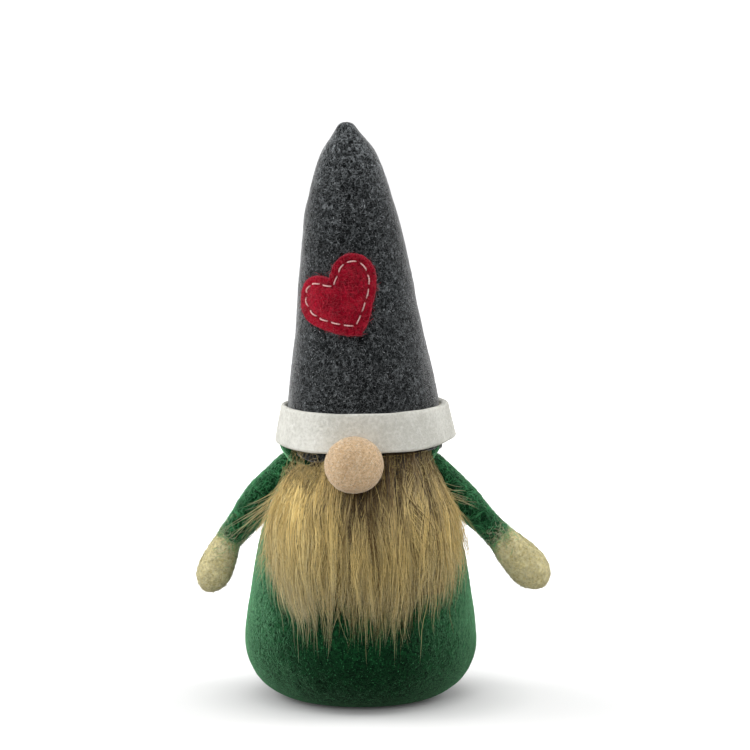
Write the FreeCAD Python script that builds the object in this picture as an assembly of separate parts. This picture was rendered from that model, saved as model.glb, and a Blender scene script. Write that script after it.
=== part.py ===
"""Tomte gnome figurine of wool felt: bell body, tall hat, band, heart patch, ball nose, pile beard, two arms.

Millimetres.  +Z is up and the figure looks along -Y.  The origin is the centre of the flat base.
Left and right are as seen from in front: the left arm is on the -X side.
"""
import FreeCAD, Part
import math
import os

# ---- driving dimensions -----------------------------------------------------------------------
HEIGHT = 200.0             # floor to the tip of the hat

BASE_FLAT_RADIUS = 20.5    # flat that the figure stands on
BODY_RADIUS = 40.3         # widest part of the bell
BODY_WALL = 4.5            # felt of the body
NECK_RADIUS = 21.0         # neck that the hat is pushed over
NECK_BOTTOM = 84.0
NECK_TOP = 95.0
# radius, height of the bell's side, from its widest line up to the foot of the neck
BODY_SIDE = [(39.8, 27.0), (38.0, 39.2), (34.8, 56.2), (30.2, 70.0), (25.0, 79.5)]
# radius, height of the stuffed hollow, which leaves the felt thick round the shoulders
HOLLOW_SIDE = [(35.2, 27.0), (33.3, 39.2), (29.4, 56.2), (24.2, 67.0), (17.4, 75.5)]
HOLLOW_NECK_RADIUS = 16.6

BALLAST_RADIUS = 27.0
BALLAST_HEIGHT = 15.0
POUCH_WALL = 0.7

HAT_WALL = 2.5
HAT_HEM = 86.0             # height of the hem at the figure's middle
HAT_HEM_TILT = 1.5         # degrees, lower on the left
HAT_LEAN_FOOT = (1.9, 88.0)   # x, height of two points on the hat's leaning axis
HAT_LEAN_TOP = (-5.0, 198.0)
# radius, height along the hat's own axis
HAT_SIDE = [(26.2, 80.0), (26.3, 100.0), (22.4, 127.0), (19.3, 148.0),
            (16.6, 165.0), (12.6, 181.0), (8.6, 191.0)]

BAND_WALL = 2.3
BAND_TOP = 102.8
BAND_BOTTOM = 88.9
BAND_TOP_RADIUS = 28.8     # outside
BAND_BOTTOM_RADIUS = 31.9  # outside
BAND_CENTRE_X = 1.6
BAND_TILT = 1.2            # degrees, lower on the left

HEART_TURN = 28.8          # degrees, the point swings to the right
HEART_NOTCH_AZIMUTH = -25.8   # degrees round the hat from the front, negative to the left
HEART_NOTCH_HEIGHT = 147.6
HEART_MIDDLE_AZIMUTH = -21.4
HEART_THICKNESS = 1.6
# right half of the flat heart and of its line of stitches: across and up from the notch
HEART_HALF = [(0, 0), (4.3, 3.2), (9.0, 4.1), (13.8, 2.0), (16.4, -3.0), (14.6, -9.2), (9.5, -14.8),
              (4.6, -19.2), (0, -21.8)]
STITCH_HALF = [(0, -3.1), (3.2, -0.9), (6.5, 1.2), (9.8, 1.3), (12.6, -0.6), (13.3, -4.2), (11.0, -9.2),
               (7.0, -13.0), (3.5, -15.8), (0, -18.0)]
STITCH_RADIUS = 0.32
STITCH_LENGTH = 3.2
STITCHES_EACH_SIDE = 8

NOSE_RADIUS = 10.0
NOSE_CENTRE = (-2.0, -38.0, 86.0)

BACKING_THICKNESS = 1.0
BACKING_GAP = 0.3
# radius in front, height of the pile's outer face
PILE_FRONT = [(30.5, 82.0), (36.5, 76.0), (41.0, 70.0), (45.0, 60.0), (46.0, 50.0), (44.6, 40.0), (41.5, 32.0)]
PILE_FORWARD = 7.0         # how far in front of the figure's axis the pile's round face is centred
# x, height of the pile's outline from its top left corner round its tip
PILE_OUTLINE = [(-28.0, 82.0), (-31.5, 68.0), (-32.5, 56.0), (-29.0, 44.0), (-23.0, 38.0), (-12.0, 35.0),
                (0.0, 33.0), (12.0, 35.0), (24.0, 38.0), (30.0, 44.0), (32.5, 56.0), (31.5, 68.0), (28.0, 82.0)]
BEARD_HINGE_HEIGHT = 71.0
BEARD_LIFT = 26.0          # degrees of wedge left open above the free pile
FLAP_STEPS = (8.0, 16.0, 24.5)   # degrees of lift at which the free pile is kept off the body

SHOULDER_X = 24.5
SHOULDER_HEIGHT = 79.5
SHOULDER_RADIUS = 5.6      # ball at the root of the arm
SLEEVE_LENGTH = 33.0
# radius, distance from the shoulder
SLEEVE_SIDE = [(5.6, 8.0), (5.3, 18.0), (4.6, 27.0), (4.8, 33.0)]
# radius, distance from the wrist
HAND_SIDE = [(4.2, -2.0), (5.4, 4.0), (6.5, 12.0), (5.6, 19.0)]
HAND_LENGTH = 23.5
PLUG_RADIUS = 3.0
ARM_ANGLES = {-1: (41.5, 24.0), 1: (45.0, 43.0)}   # side: sleeve and hand, degrees from straight down
SLEEVE_GIRTH = {-1: 1.08, 1: 1.0}   # side: girth of the sleeve below its root, as a share of SLEEVE_SIDE
HAND_SCALE = {-1: (0.9, 0.91), 1: (1.02, 1.03)}    # side: girth and length of the hand, as shares of HAND_SIDE
ARM_LIFT = 47.0            # degrees that the shoulder slot leaves open
SLEEVE_STEPS = (0.0, 15.0, 30.0, 45.0)   # degrees of lift at which the sleeve is kept off the body
WIRE_RADIUS = 0.6
WIRE_START = 9.5           # distance from the shoulder
THREAD_RADIUS = 0.7
KNOT_RADIUS = 1.6
BUTTON_RADIUS = 3.0
BUTTON_INNER_X = 13.2

CLEAR = 0.35               # gap between pieces that move past each other
ARM_GAP = 1.6              # gap between the beard and the arms that swing beside it
FIT = 0.1                  # gap between pieces packed inside one another

SIDES = {"left": -1, "right": 1}
PARTS = {}


# ---- helpers ----------------------------------------------------------------------------------
def vector(x, y, z):
    return FreeCAD.Vector(x, y, z)


def profile(points):
    """Points given as radius, height, standing in the XZ plane."""
    return [vector(radius, 0, height) for radius, height in points]


def smooth(points, start=None, end=None):
    """One smooth edge through the points, with its end directions if they are given."""
    curve = Part.BSplineCurve()
    if start is None:
        curve.interpolate(Points=points)
    else:
        curve.interpolate(Points=points, InitialTangent=start, FinalTangent=end)
    return curve.toShape()


def straight(points):
    return [Part.makeLine(a, b) for a, b in zip(points, points[1:])]


def face_of(edges):
    return Part.Face(Part.Wire(edges))


def turned(edges, foot=None, axis=None):
    """Solid made by turning a closed outline round an axis, the Z axis unless another is given."""
    foot = foot or vector(0, 0, 0)
    axis = axis or vector(0, 0, 1)
    solid = face_of(edges).revolve(foot, axis, 360)
    if solid.Volume < 0:
        solid.reverse()
    return solid


def ball(centre, radius):
    return Part.makeSphere(radius, vector(*centre))


def rod(start, end, radius):
    """Round bar between two points."""
    return Part.makeCylinder(radius, (end - start).Length, start, end - start)


def capsule(start, end, radius):
    """Round bar with round ends."""
    return rod(start, end, radius).fuse([Part.makeSphere(radius, start), Part.makeSphere(radius, end)])


def grown(points, amount):
    """Profile points moved outward by an amount, square to the line through their neighbours."""
    moved = []
    for i, (radius, height) in enumerate(points):
        before = points[max(i - 1, 0)]
        after = points[min(i + 1, len(points) - 1)]
        along = (after[0] - before[0], after[1] - before[1])
        length = math.hypot(*along)
        moved.append((radius + amount * along[1] / length, height - amount * along[0] / length))
    return moved


def keep(node, shape):
    """Store a node's shape as its solids only."""
    solids = shape.Solids
    PARTS[node] = solids[0] if len(solids) == 1 else Part.makeCompound(solids)


# ---- body -------------------------------------------------------------------------------------
def bell_outline(side, flat_radius, flat_height, fillet, neck_radius, neck_bottom, neck_top, crown):
    """Half section of a bell: flat bottom, round lower edge, smooth side, neck and a low crown."""
    centre_height = flat_height + fillet
    corner = Part.Arc(vector(flat_radius, 0, flat_height),
                      vector(flat_radius + fillet * math.sin(math.pi / 4), 0,
                             centre_height - fillet * math.cos(math.pi / 4)),
                      vector(flat_radius + fillet, 0, centre_height)).toShape()
    rise = profile([(flat_radius + fillet, centre_height)] + side + [(neck_radius, neck_bottom)])
    flank = smooth(rise, vector(0, 0, 1), vector(-0.35, 0, 1))
    dome = smooth(profile([(neck_radius, neck_top), (neck_radius * 0.6, neck_top + crown * 0.85),
                           (0, neck_top + crown)]), vector(0, 0, 1), vector(-1, 0, 0))
    edges = [Part.makeLine(vector(0, 0, flat_height), vector(flat_radius, 0, flat_height)), corner, flank]
    edges += [Part.makeLine(vector(neck_radius, 0, neck_bottom), vector(neck_radius, 0, neck_top)), dome]
    return edges + [Part.makeLine(vector(0, 0, neck_top + crown), vector(0, 0, flat_height))]


def outer_outline(gap=0.0):
    fillet = BODY_RADIUS - BASE_FLAT_RADIUS
    return bell_outline([(r + gap, z) for r, z in BODY_SIDE], BASE_FLAT_RADIUS, -gap, fillet + gap,
                        NECK_RADIUS + gap, NECK_BOTTOM + gap, NECK_TOP, 4.0 + gap)


def outer_bell(gap=0.0):
    return turned(outer_outline(gap))


def inner_bell(gap=0.0):
    fillet = BODY_RADIUS - BASE_FLAT_RADIUS - BODY_WALL
    return turned(bell_outline([(r - gap, z) for r, z in HOLLOW_SIDE], BASE_FLAT_RADIUS, BODY_WALL + gap,
                               fillet - gap, HOLLOW_NECK_RADIUS - gap, NECK_BOTTOM - 4.5, NECK_TOP - 4.0,
                               3.5 - gap))


def make_body():
    """Felt shell with a base opening, a socket and a thread hole at each shoulder."""
    opening = Part.makeCylinder(BASE_FLAT_RADIUS, BODY_WALL + 1, vector(0, 0, -0.5))
    groove = Part.makeCylinder(BASE_FLAT_RADIUS + 1.6, 0.8).cut(Part.makeCylinder(BASE_FLAT_RADIUS - 1.6, 0.8))
    shell = outer_bell().cut([inner_bell(), opening, groove])
    for side in SIDES.values():
        pivot = (side * SHOULDER_X, 0, SHOULDER_HEIGHT)
        hole = rod(vector(0, 0, SHOULDER_HEIGHT), vector(*pivot), THREAD_RADIUS + CLEAR)
        shell = shell.cut([ball(pivot, SHOULDER_RADIUS + CLEAR), hole])
    keep("body_shell", shell)

    disc = Part.makeCylinder(BASE_FLAT_RADIUS, BODY_WALL - FIT).cut(groove)
    keep("base_disc", disc)

    stitches = []
    count = 24
    for i in range(count):
        angle = 2 * math.pi * i / count
        lean = angle + 0.035
        inside = vector((BASE_FLAT_RADIUS - 1.0) * math.cos(angle), (BASE_FLAT_RADIUS - 1.0) * math.sin(angle), 0.42)
        outside = vector((BASE_FLAT_RADIUS + 1.0) * math.cos(lean), (BASE_FLAT_RADIUS + 1.0) * math.sin(lean), 0.42)
        stitches.append(capsule(inside, outside, STITCH_RADIUS))
    PARTS["base_stitches"] = Part.makeCompound(stitches)


def make_filling():
    """Ballast pouch on the base disc, its grit, and loose stuffing in the rest of the hollow."""
    def bag(radius, low, high):
        """Turned bag with a flat foot, a round lower edge and a low crown."""
        round_edge = (high - low) * 0.4
        foot = radius - round_edge
        drop = round_edge * math.sqrt(0.5)
        corner = Part.Arc(vector(foot, 0, low), vector(foot + drop, 0, low + round_edge - drop),
                          vector(radius, 0, low + round_edge)).toShape()
        crown = smooth(profile([(radius, low + round_edge), (radius * 0.7, high - 1.2), (0, high)]),
                       vector(0, 0, 1), vector(-1, 0, 0))
        return turned([Part.makeLine(vector(0, 0, low), vector(foot, 0, low)), corner, crown,
                       Part.makeLine(vector(0, 0, high), vector(0, 0, low))])

    low = BODY_WALL + 0.6
    pouch = bag(BALLAST_RADIUS, low, low + BALLAST_HEIGHT)
    grit = bag(BALLAST_RADIUS - POUCH_WALL, low + POUCH_WALL, low + BALLAST_HEIGHT - POUCH_WALL)
    keep("ballast_pouch", pouch.cut(grit))
    keep("ballast_grit", bag(BALLAST_RADIUS - POUCH_WALL - FIT, low + POUCH_WALL + FIT,
                             low + BALLAST_HEIGHT - POUCH_WALL - FIT))

    stuffing = inner_bell(FIT).cut(bag(BALLAST_RADIUS + FIT, low - FIT, low + BALLAST_HEIGHT + FIT))
    room = rod(vector(-SHOULDER_X, 0, SHOULDER_HEIGHT), vector(SHOULDER_X, 0, SHOULDER_HEIGHT),
               BUTTON_RADIUS + CLEAR)
    keep("body_stuffing", max(stuffing.cut(room).Solids, key=lambda solid: solid.Volume))


# ---- hat --------------------------------------------------------------------------------------
def hat_axis():
    foot = vector(HAT_LEAN_FOOT[0], 0, HAT_LEAN_FOOT[1])
    top = vector(HAT_LEAN_TOP[0], 0, HAT_LEAN_TOP[1])
    return foot, (top - foot).normalize()


def lean(shape):
    """Carry a shape made round the Z axis onto the hat's leaning axis."""
    foot, axis = hat_axis()
    angle = math.degrees(math.atan2(axis.x, axis.z))
    moved = shape.copy()
    moved.translate(vector(foot.x, 0, 0))
    moved.rotate(foot, vector(0, 1, 0), angle)
    return moved


def hat_solid(gap=0.0):
    """Hat filled solid, grown by a gap that may be negative."""
    side = grown(HAT_SIDE + [(3.6, HEIGHT - 2.2)], gap)
    edge = smooth(profile(side + [(0, HEIGHT + gap)]), vector(0, 0, 1), vector(-1, 0, 0))
    foot = side[0]
    edges = [edge, Part.makeLine(vector(0, 0, HEIGHT + gap), vector(0, 0, foot[1])),
             Part.makeLine(vector(0, 0, foot[1]), vector(foot[0], 0, foot[1]))]
    return lean(turned(edges))


def tilted_slab(low, high, tilt):
    """Wide slab between two heights, turned about Y so that its left side is lower."""
    slab = Part.makeCylinder(80, high - low, vector(0, 0, low))
    slab.rotate(vector(0, 0, low), vector(0, 1, 0), -tilt)
    return slab


def make_hat():
    """Felt cone, the stuffing that holds it up and the glue that fixes it on the neck."""
    hem_up = tilted_slab(HAT_HEM, HEIGHT + 40, HAT_HEM_TILT)
    keep("hat_cone", hat_solid().common(hem_up).cut(hat_solid(-HAT_WALL)))
    above_neck = tilted_slab(NECK_TOP - 6, HEIGHT + 40, 0)
    keep("hat_stuffing", hat_solid(-HAT_WALL - FIT).common(above_neck).cut(outer_bell(FIT)))
    ring = hat_solid(-HAT_WALL).common(tilted_slab(NECK_TOP - 8.5, NECK_TOP - 6.5, 0))
    keep("hat_glue", ring.cut(outer_bell()))


def band_ring(grow_out=0.0, wall=BAND_WALL):
    slope = math.atan2(BAND_BOTTOM_RADIUS - BAND_TOP_RADIUS, BAND_TOP - BAND_BOTTOM)
    across = wall / math.cos(slope)
    outline = [(BAND_TOP_RADIUS - across, BAND_TOP), (BAND_TOP_RADIUS + grow_out, BAND_TOP),
               (BAND_BOTTOM_RADIUS + grow_out, BAND_BOTTOM), (BAND_BOTTOM_RADIUS - across, BAND_BOTTOM)]
    corners = profile(outline)
    ring = turned(straight(corners + corners[:1]))
    ring.translate(vector(BAND_CENTRE_X, 0, 0))
    ring.rotate(vector(BAND_CENTRE_X, 0, BAND_BOTTOM), vector(0, 1, 0), -BAND_TILT)
    return ring


def make_band():
    """Felt strip bent into a flaring ring, its two ends meeting at the back, and its line of glue."""
    slit = Part.makeBox(0.3, 20, BAND_TOP, vector(BAND_CENTRE_X - 0.15, 20, 40))
    keep("hat_band", band_ring().cut([slit, hat_solid(FIT)]))
    glue = tilted_slab(BAND_TOP - 4.5, BAND_TOP - 1.5, BAND_TILT)
    glue = glue.common(Part.makeCylinder(BAND_TOP_RADIUS + 5, HEIGHT, vector(BAND_CENTRE_X, 0, 0)))
    inside_band = band_ring(wall=BAND_TOP_RADIUS - 1).cut(band_ring(grow_out=1.0))
    keep("hat_band_glue", glue.common(inside_band).cut(hat_solid()))


# ---- heart ------------------------------------------------------------------------------------
def hat_radius(height):
    """Rough outside radius of the hat at a height, between the nearest two points of its side."""
    for (r0, z0), (r1, z1) in zip(HAT_SIDE, HAT_SIDE[1:]):
        if height <= z1:
            return r0 + (r1 - r0) * (height - z0) / (z1 - z0)
    return HAT_SIDE[-1][0]


def heart_place(across, up):
    """Azimuth in radians and height on the hat of a point of the flat heart."""
    turn = math.radians(HEART_TURN)
    arc = across * math.cos(turn) - up * math.sin(turn)
    height = HEART_NOTCH_HEIGHT + across * math.sin(turn) + up * math.cos(turn)
    first = math.radians(HEART_NOTCH_AZIMUTH)
    radius = hat_radius(height) + HEART_THICKNESS
    notch_radius = hat_radius(HEART_NOTCH_HEIGHT) + HEART_THICKNESS
    return (first * notch_radius + arc) / radius, height


def hat_surface(azimuth, height, above):
    """Point standing off the hat's surface by an amount."""
    foot, axis = hat_axis()
    middle = foot + axis * ((height - foot.z) / axis.z)
    outward = vector(math.sin(azimuth), -math.cos(azimuth), 0)
    probe = Part.makeLine(middle, middle + outward * 60).common(HAT_OUTSIDE)
    edge = max(probe.Vertexes, key=lambda vertex: (vertex.Point - middle).Length)
    return edge.Point + outward * above


def make_heart():
    """Felt heart lying on the hat, and the running stitches round it."""
    facing = math.radians(HEART_MIDDLE_AZIMUTH)
    sight = vector(math.sin(facing), -math.cos(facing), 0)

    def seen(across, up):
        """The heart's point carried out along the line of sight, in front of the hat."""
        spot = hat_surface(*heart_place(across, up), HEART_THICKNESS)
        return spot + sight * (60 - spot.dot(sight))

    right = smooth([seen(across, up) for across, up in HEART_HALF])
    left = smooth([seen(-across, up) for across, up in HEART_HALF])
    column = face_of([right, left]).extrude(sight * -60)
    shell = hat_solid(HEART_THICKNESS).cut(HAT_OUTSIDE)
    keep("heart_patch", column.common(shell))

    above = HEART_THICKNESS + STITCH_RADIUS + 0.12
    stitches = []
    for side in SIDES.values():
        line = smooth([vector(side * across, 0, up) for across, up in STITCH_HALF])
        pitch = line.Length / STITCHES_EACH_SIDE
        for i in range(STITCHES_EACH_SIDE):
            start = (i + 0.5) * pitch - STITCH_LENGTH / 2
            ends = [line.valueAt(line.getParameterByLength(at)) for at in (start, start + STITCH_LENGTH)]
            a, b = [hat_surface(*heart_place(end.x, end.z), above) for end in ends]
            stitches.append(capsule(a, b, STITCH_RADIUS))
    PARTS["heart_stitches"] = Part.makeCompound(stitches)


# ---- nose -------------------------------------------------------------------------------------
def make_nose():
    """Felt ball pressed against the band's lower edge, and the glue behind it."""
    inside_band = band_ring(wall=BAND_TOP_RADIUS - 1)
    keep("nose_ball", ball(NOSE_CENTRE, NOSE_RADIUS).cut(inside_band))
    back = vector(NOSE_CENTRE[0], -20, NOSE_CENTRE[2] + 0.9)
    pad = rod(back, vector(NOSE_CENTRE[0], -34, NOSE_CENTRE[2] + 0.9), 1.9)
    pad = pad.common(tilted_slab(HAT_HEM + 0.2, BAND_BOTTOM - 0.2, 0))
    keep("nose_glue", pad.cut([ball(NOSE_CENTRE, NOSE_RADIUS), hat_solid(), inside_band]))


# ---- beard ------------------------------------------------------------------------------------
def pile_blank():
    """Everything inside the pile's outer face, which is turned round a line in front of the axis."""
    points = profile([(radius - PILE_FORWARD, height) for radius, height in PILE_FRONT])
    edges = [smooth(points)] + straight([points[-1], vector(0, 0, PILE_FRONT[-1][1]),
                                         vector(0, 0, PILE_FRONT[0][1]), points[0]])
    blank = turned(edges)
    blank.translate(vector(0, -PILE_FORWARD, 0))
    return blank


def beard_column():
    """The beard's outline as seen from in front, drawn out along Y."""
    points = [vector(x, -60, z) for x, z in PILE_OUTLINE]
    return face_of([smooth(points), Part.makeLine(points[-1], points[0])]).extrude(vector(0, 60, 0))


def body_skin(low, high):
    """Layer round the bell between two gaps."""
    return outer_bell(high).cut(outer_bell(low))


def make_beard():
    """Backing cloth and hair pile, each split at the line where the free part lifts."""
    hinge_y = -beard_hinge_radius()
    far = 100.0
    above = Part.makeBox(far, far, 40, vector(-far / 2, -far, BEARD_HINGE_HEIGHT + FIT))
    below = Part.makeBox(far, far, 60, vector(-far / 2, -far, BEARD_HINGE_HEIGHT - FIT - 60))
    wedge_top = far * math.tan(math.radians(BEARD_LIFT))
    wedge_line = [vector(-far / 2, hinge_y, BEARD_HINGE_HEIGHT - FIT),
                  vector(-far / 2, hinge_y - far, BEARD_HINGE_HEIGHT - FIT),
                  vector(-far / 2, hinge_y - far, BEARD_HINGE_HEIGHT + wedge_top)]
    wedge = face_of(straight(wedge_line + wedge_line[:1])).extrude(vector(far, 0, 0))

    column = beard_column()
    backing = body_skin(BACKING_GAP, BACKING_GAP + BACKING_THICKNESS).common(column)
    backing = backing.common(Part.makeBox(far, far, 40, vector(-far / 2, -far, 44)))
    pile = pile_blank().common(column).cut(outer_bell(BACKING_GAP + BACKING_THICKNESS + FIT))
    nose_room = ball(NOSE_CENTRE, NOSE_RADIUS + FIT)
    clear_band = [nose_room, hat_solid(FIT)]
    arms = [arm_room(side) for side in SIDES.values()]
    lifted = [outer_bell(CLEAR) for angle in FLAP_STEPS]
    for body, angle in zip(lifted, FLAP_STEPS):
        body.rotate(vector(0, hinge_y, BEARD_HINGE_HEIGHT), vector(1, 0, 0), angle)
    keep("beard_backing_top", backing.common(above).cut(clear_band + arms))
    keep("beard_backing_flap", backing.common(below).cut(arms + lifted))
    keep("beard_pile_top", pile.common(above).cut(clear_band + arms + [wedge]))
    keep("beard_pile_flap", pile.common(below).cut(arms + lifted))

    tacks = []
    for x in (-20.0, -12.0, -4.0, 4.0, 12.0, 20.0):
        height = 78.0
        radius = math.sqrt(bell_radius(height) ** 2 - x ** 2)
        spot = vector(x, -radius - BACKING_GAP, height)
        tacks.append(rod(spot, spot + vector(0, BACKING_GAP + 0.3, 0), 1.2).cut(outer_bell()))
    keep("beard_glue", Part.makeCompound(tacks).common(body_skin(0, BACKING_GAP)))


def bell_radius(height):
    """Outside radius of the bell at a height."""
    probe = Part.makeLine(vector(0, 0, height), vector(60, 0, height))
    return probe.common(OUTER_BELL).BoundBox.XMax


def beard_hinge_radius():
    return bell_radius(BEARD_HINGE_HEIGHT) + BACKING_GAP + BACKING_THICKNESS / 2


# ---- arms -------------------------------------------------------------------------------------
def along(side, angle):
    """Direction of a limb that hangs out to one side by an angle from straight down."""
    return vector(side * math.sin(math.radians(angle)), 0, -math.cos(math.radians(angle)))


def limb(points, length, start, direction):
    """Turned limb from its side profile, with a round tip when the profile stops short of its length."""
    first = points[0]
    edges = straight(profile([(0, first[1]), first]))
    if points[-1][1] < length:
        edges.append(smooth(profile(points + [(0, length)]), vector(0.1, 0, 1), vector(-1, 0, 0)))
    else:
        edges.append(smooth(profile(points)))
        edges.append(Part.makeLine(profile(points)[-1], vector(0, 0, length)))
    edges.append(Part.makeLine(vector(0, 0, length), vector(0, 0, first[1])))
    solid = turned(edges)
    solid.Placement = FreeCAD.Placement(start, FreeCAD.Rotation(vector(0, 0, 1), direction))
    return solid


def swing_room():
    """Space the body takes up however the arm swings: its half section turned round the shoulder's X axis."""
    low = 27.0
    half = face_of(outer_outline(CLEAR + 0.1))
    half = half.common(Part.makeBox(100, 2, SHOULDER_HEIGHT - low, vector(0, -1, low)))
    room = half.revolve(vector(0, 0, SHOULDER_HEIGHT), vector(1, 0, 0), 360)
    if room.Volume < 0:
        room.reverse()
    return room.fuse(room.mirror(vector(0, 0, 0), vector(1, 0, 0)))


def arm_room(side):
    """Space a sleeve passes through at every swing and lift: the half plane outside its inner edge, turned."""
    reach = 60.0
    gap = SHOULDER_RADIUS + ARM_GAP
    angle = math.radians(ARM_ANGLES[side][0])
    touch = vector(SHOULDER_X - gap * math.cos(angle), 0, SHOULDER_HEIGHT - gap * math.sin(angle))
    far = touch + vector(math.sin(angle), 0, -math.cos(angle)) * reach
    halfway = vector(SHOULDER_X - gap * math.cos(angle / 2), 0, SHOULDER_HEIGHT - gap * math.sin(angle / 2))
    start = vector(SHOULDER_X - gap, 0, SHOULDER_HEIGHT)
    edges = [Part.Arc(start, halfway, touch).toShape()]
    edges += straight([touch, far, vector(far.x, 0, SHOULDER_HEIGHT), start])
    room = turned(edges, vector(0, 0, SHOULDER_HEIGHT), vector(1, 0, 0))
    return room if side > 0 else room.mirror(vector(0, 0, 0), vector(1, 0, 0))


def thread_slot(side, pivot):
    """Room inside the arm's root for the knot and for the thread at every lift of the arm."""
    reach = SHOULDER_RADIUS + 4
    half = THREAD_RADIUS + CLEAR
    directions = []
    for lift in (-4.0, ARM_LIFT / 2, ARM_LIFT + 4.0):
        directions.append(vector(-side * math.cos(math.radians(lift)), 0, math.sin(math.radians(lift))))
    fan = [pivot] + [pivot + direction * reach for direction in directions]
    sector = face_of(straight(fan + fan[:1])).extrude(vector(0, 2 * half, 0))
    sector.translate(vector(0, -half, 0))
    ends = [rod(pivot, pivot + direction * reach, half) for direction in directions]
    return sector.fuse(ends + [Part.makeSphere(KNOT_RADIUS + CLEAR, pivot)])


def make_arm(name, side):
    """Sleeve, hand and wire of one arm, and the knotted thread and button that hold it."""
    pivot = vector(side * SHOULDER_X, 0, SHOULDER_HEIGHT)
    sleeve_angle, hand_angle = ARM_ANGLES[side]
    down_arm = along(side, sleeve_angle)
    down_hand = along(side, hand_angle)
    wrist = pivot + down_arm * SLEEVE_LENGTH

    girth, stretch = HAND_SCALE[side]
    hand_side = [(radius * girth, at * stretch) for radius, at in HAND_SIDE]
    hand_length = HAND_LENGTH * stretch
    root = [(SHOULDER_RADIUS, 0.0), SLEEVE_SIDE[0]]
    root += [(radius * SLEEVE_GIRTH[side], at) for radius, at in SLEEVE_SIDE[1:-1]] + SLEEVE_SIDE[-1:]
    sleeve = limb(root, SLEEVE_LENGTH, pivot, down_arm)
    plug = rod(wrist - down_hand * 6, wrist + down_hand, PLUG_RADIUS)
    hand = limb(hand_side, hand_length, wrist, down_hand).cut(sleeve).fuse(plug)
    hand = max(hand.Solids, key=lambda solid: solid.Volume)
    wire = capsule(pivot + down_arm * WIRE_START, wrist, WIRE_RADIUS)
    wire = wire.fuse(capsule(wrist, wrist + down_hand * (hand_length - 6), WIRE_RADIUS))
    rooms = [SWING_ROOM.copy() for lift in SLEEVE_STEPS]
    for room, lift in zip(rooms, SLEEVE_STEPS):
        room.rotate(pivot, vector(0, side, 0), lift)
    sleeve = sleeve.cut(rooms).fuse(Part.makeSphere(SHOULDER_RADIUS, pivot))
    sleeve = sleeve.cut([plug, wire, thread_slot(side, pivot)])
    keep(name + "_arm_sleeve", max(sleeve.Solids, key=lambda solid: solid.Volume))
    keep(name + "_hand", hand.cut(wire))
    keep(name + "_arm_wire", wire)

    knot_end = vector(side * (BUTTON_INNER_X - KNOT_RADIUS - 0.1), 0, SHOULDER_HEIGHT)
    thread = rod(knot_end, pivot, THREAD_RADIUS)
    thread = thread.fuse([Part.makeSphere(KNOT_RADIUS, knot_end), Part.makeSphere(KNOT_RADIUS, pivot)])
    keep(name + "_shoulder_thread", thread)
    button_start = vector(side * BUTTON_INNER_X, 0, SHOULDER_HEIGHT)
    button = rod(button_start, pivot, BUTTON_RADIUS).common(inner_bell(FIT / 2))
    keep(name + "_shoulder_button", button.cut(rod(button_start, pivot, THREAD_RADIUS + CLEAR)))


# ---- make and write ---------------------------------------------------------------------------
OUTER_BELL = outer_bell()
HAT_OUTSIDE = hat_solid()
SWING_ROOM = swing_room()

make_body()
make_filling()
make_hat()
make_band()
make_heart()
make_nose()
make_beard()
for arm_name, arm_side in SIDES.items():
    make_arm(arm_name, arm_side)

print("beard hinge at y", -round(beard_hinge_radius(), 2), "z", BEARD_HINGE_HEIGHT)
os.makedirs("parts", exist_ok=True)
for node, shape in PARTS.items():
    box = shape.BoundBox
    print("%-24s solids %2d  volume %9.1f  x %6.1f %6.1f  y %6.1f %6.1f  z %6.1f %6.1f  %s" % (
        node, len(shape.Solids), shape.Volume, box.XMin, box.XMax, box.YMin, box.YMax, box.ZMin, box.ZMax,
        "valid" if shape.isValid() else "BROKEN"))
    shape.exportStep("parts/" + node + ".step")
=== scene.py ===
"""Blender scene of the felt gnome figurine: felted surfaces with loose fibres, sewn heart and long pile beard.

Metres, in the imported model's frame: +Z is up and the figure looks along -Y.
Left and right are as seen from in front.
"""
import math

import bpy
import numpy as np
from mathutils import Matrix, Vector
from mathutils.bvhtree import BVHTree


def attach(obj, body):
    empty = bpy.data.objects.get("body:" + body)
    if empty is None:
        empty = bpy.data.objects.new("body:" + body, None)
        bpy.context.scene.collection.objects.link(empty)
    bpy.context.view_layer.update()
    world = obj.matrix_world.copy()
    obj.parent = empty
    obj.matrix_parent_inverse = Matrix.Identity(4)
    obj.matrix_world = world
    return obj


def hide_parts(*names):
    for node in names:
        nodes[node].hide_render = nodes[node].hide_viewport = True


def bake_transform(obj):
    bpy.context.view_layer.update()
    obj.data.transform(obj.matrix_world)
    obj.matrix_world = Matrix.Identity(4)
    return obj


MM = 0.001
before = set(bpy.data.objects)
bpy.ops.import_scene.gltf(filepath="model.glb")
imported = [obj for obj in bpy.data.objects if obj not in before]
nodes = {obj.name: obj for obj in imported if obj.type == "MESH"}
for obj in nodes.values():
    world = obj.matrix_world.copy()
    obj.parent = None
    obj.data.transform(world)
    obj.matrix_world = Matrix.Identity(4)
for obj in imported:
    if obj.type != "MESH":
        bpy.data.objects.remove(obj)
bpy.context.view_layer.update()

# ---- camera ---------------------------------------------------------------------------------
CAMERA_DISTANCE = 1.290
CAMERA_HEIGHT = 0.272
CAMERA_RIGHT = 0.0050
CAMERA_PITCH = math.radians(7.06)
CAMERA_LENS = 180.4


def placed(name, data):
    """New object of the scene."""
    made = bpy.data.objects.new(name, data)
    bpy.context.scene.collection.objects.link(made)
    return made


def make_camera():
    data = bpy.data.cameras.new("camera")
    data.lens = CAMERA_LENS
    data.sensor_width = 36.0
    data.clip_start = 0.05
    data.clip_end = 100.0
    camera = placed("camera", data)
    camera.location = (CAMERA_RIGHT, -CAMERA_DISTANCE, CAMERA_HEIGHT)
    camera.rotation_euler = (math.pi / 2 - CAMERA_PITCH, 0, 0)
    bpy.context.scene.camera = camera


make_camera()

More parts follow.
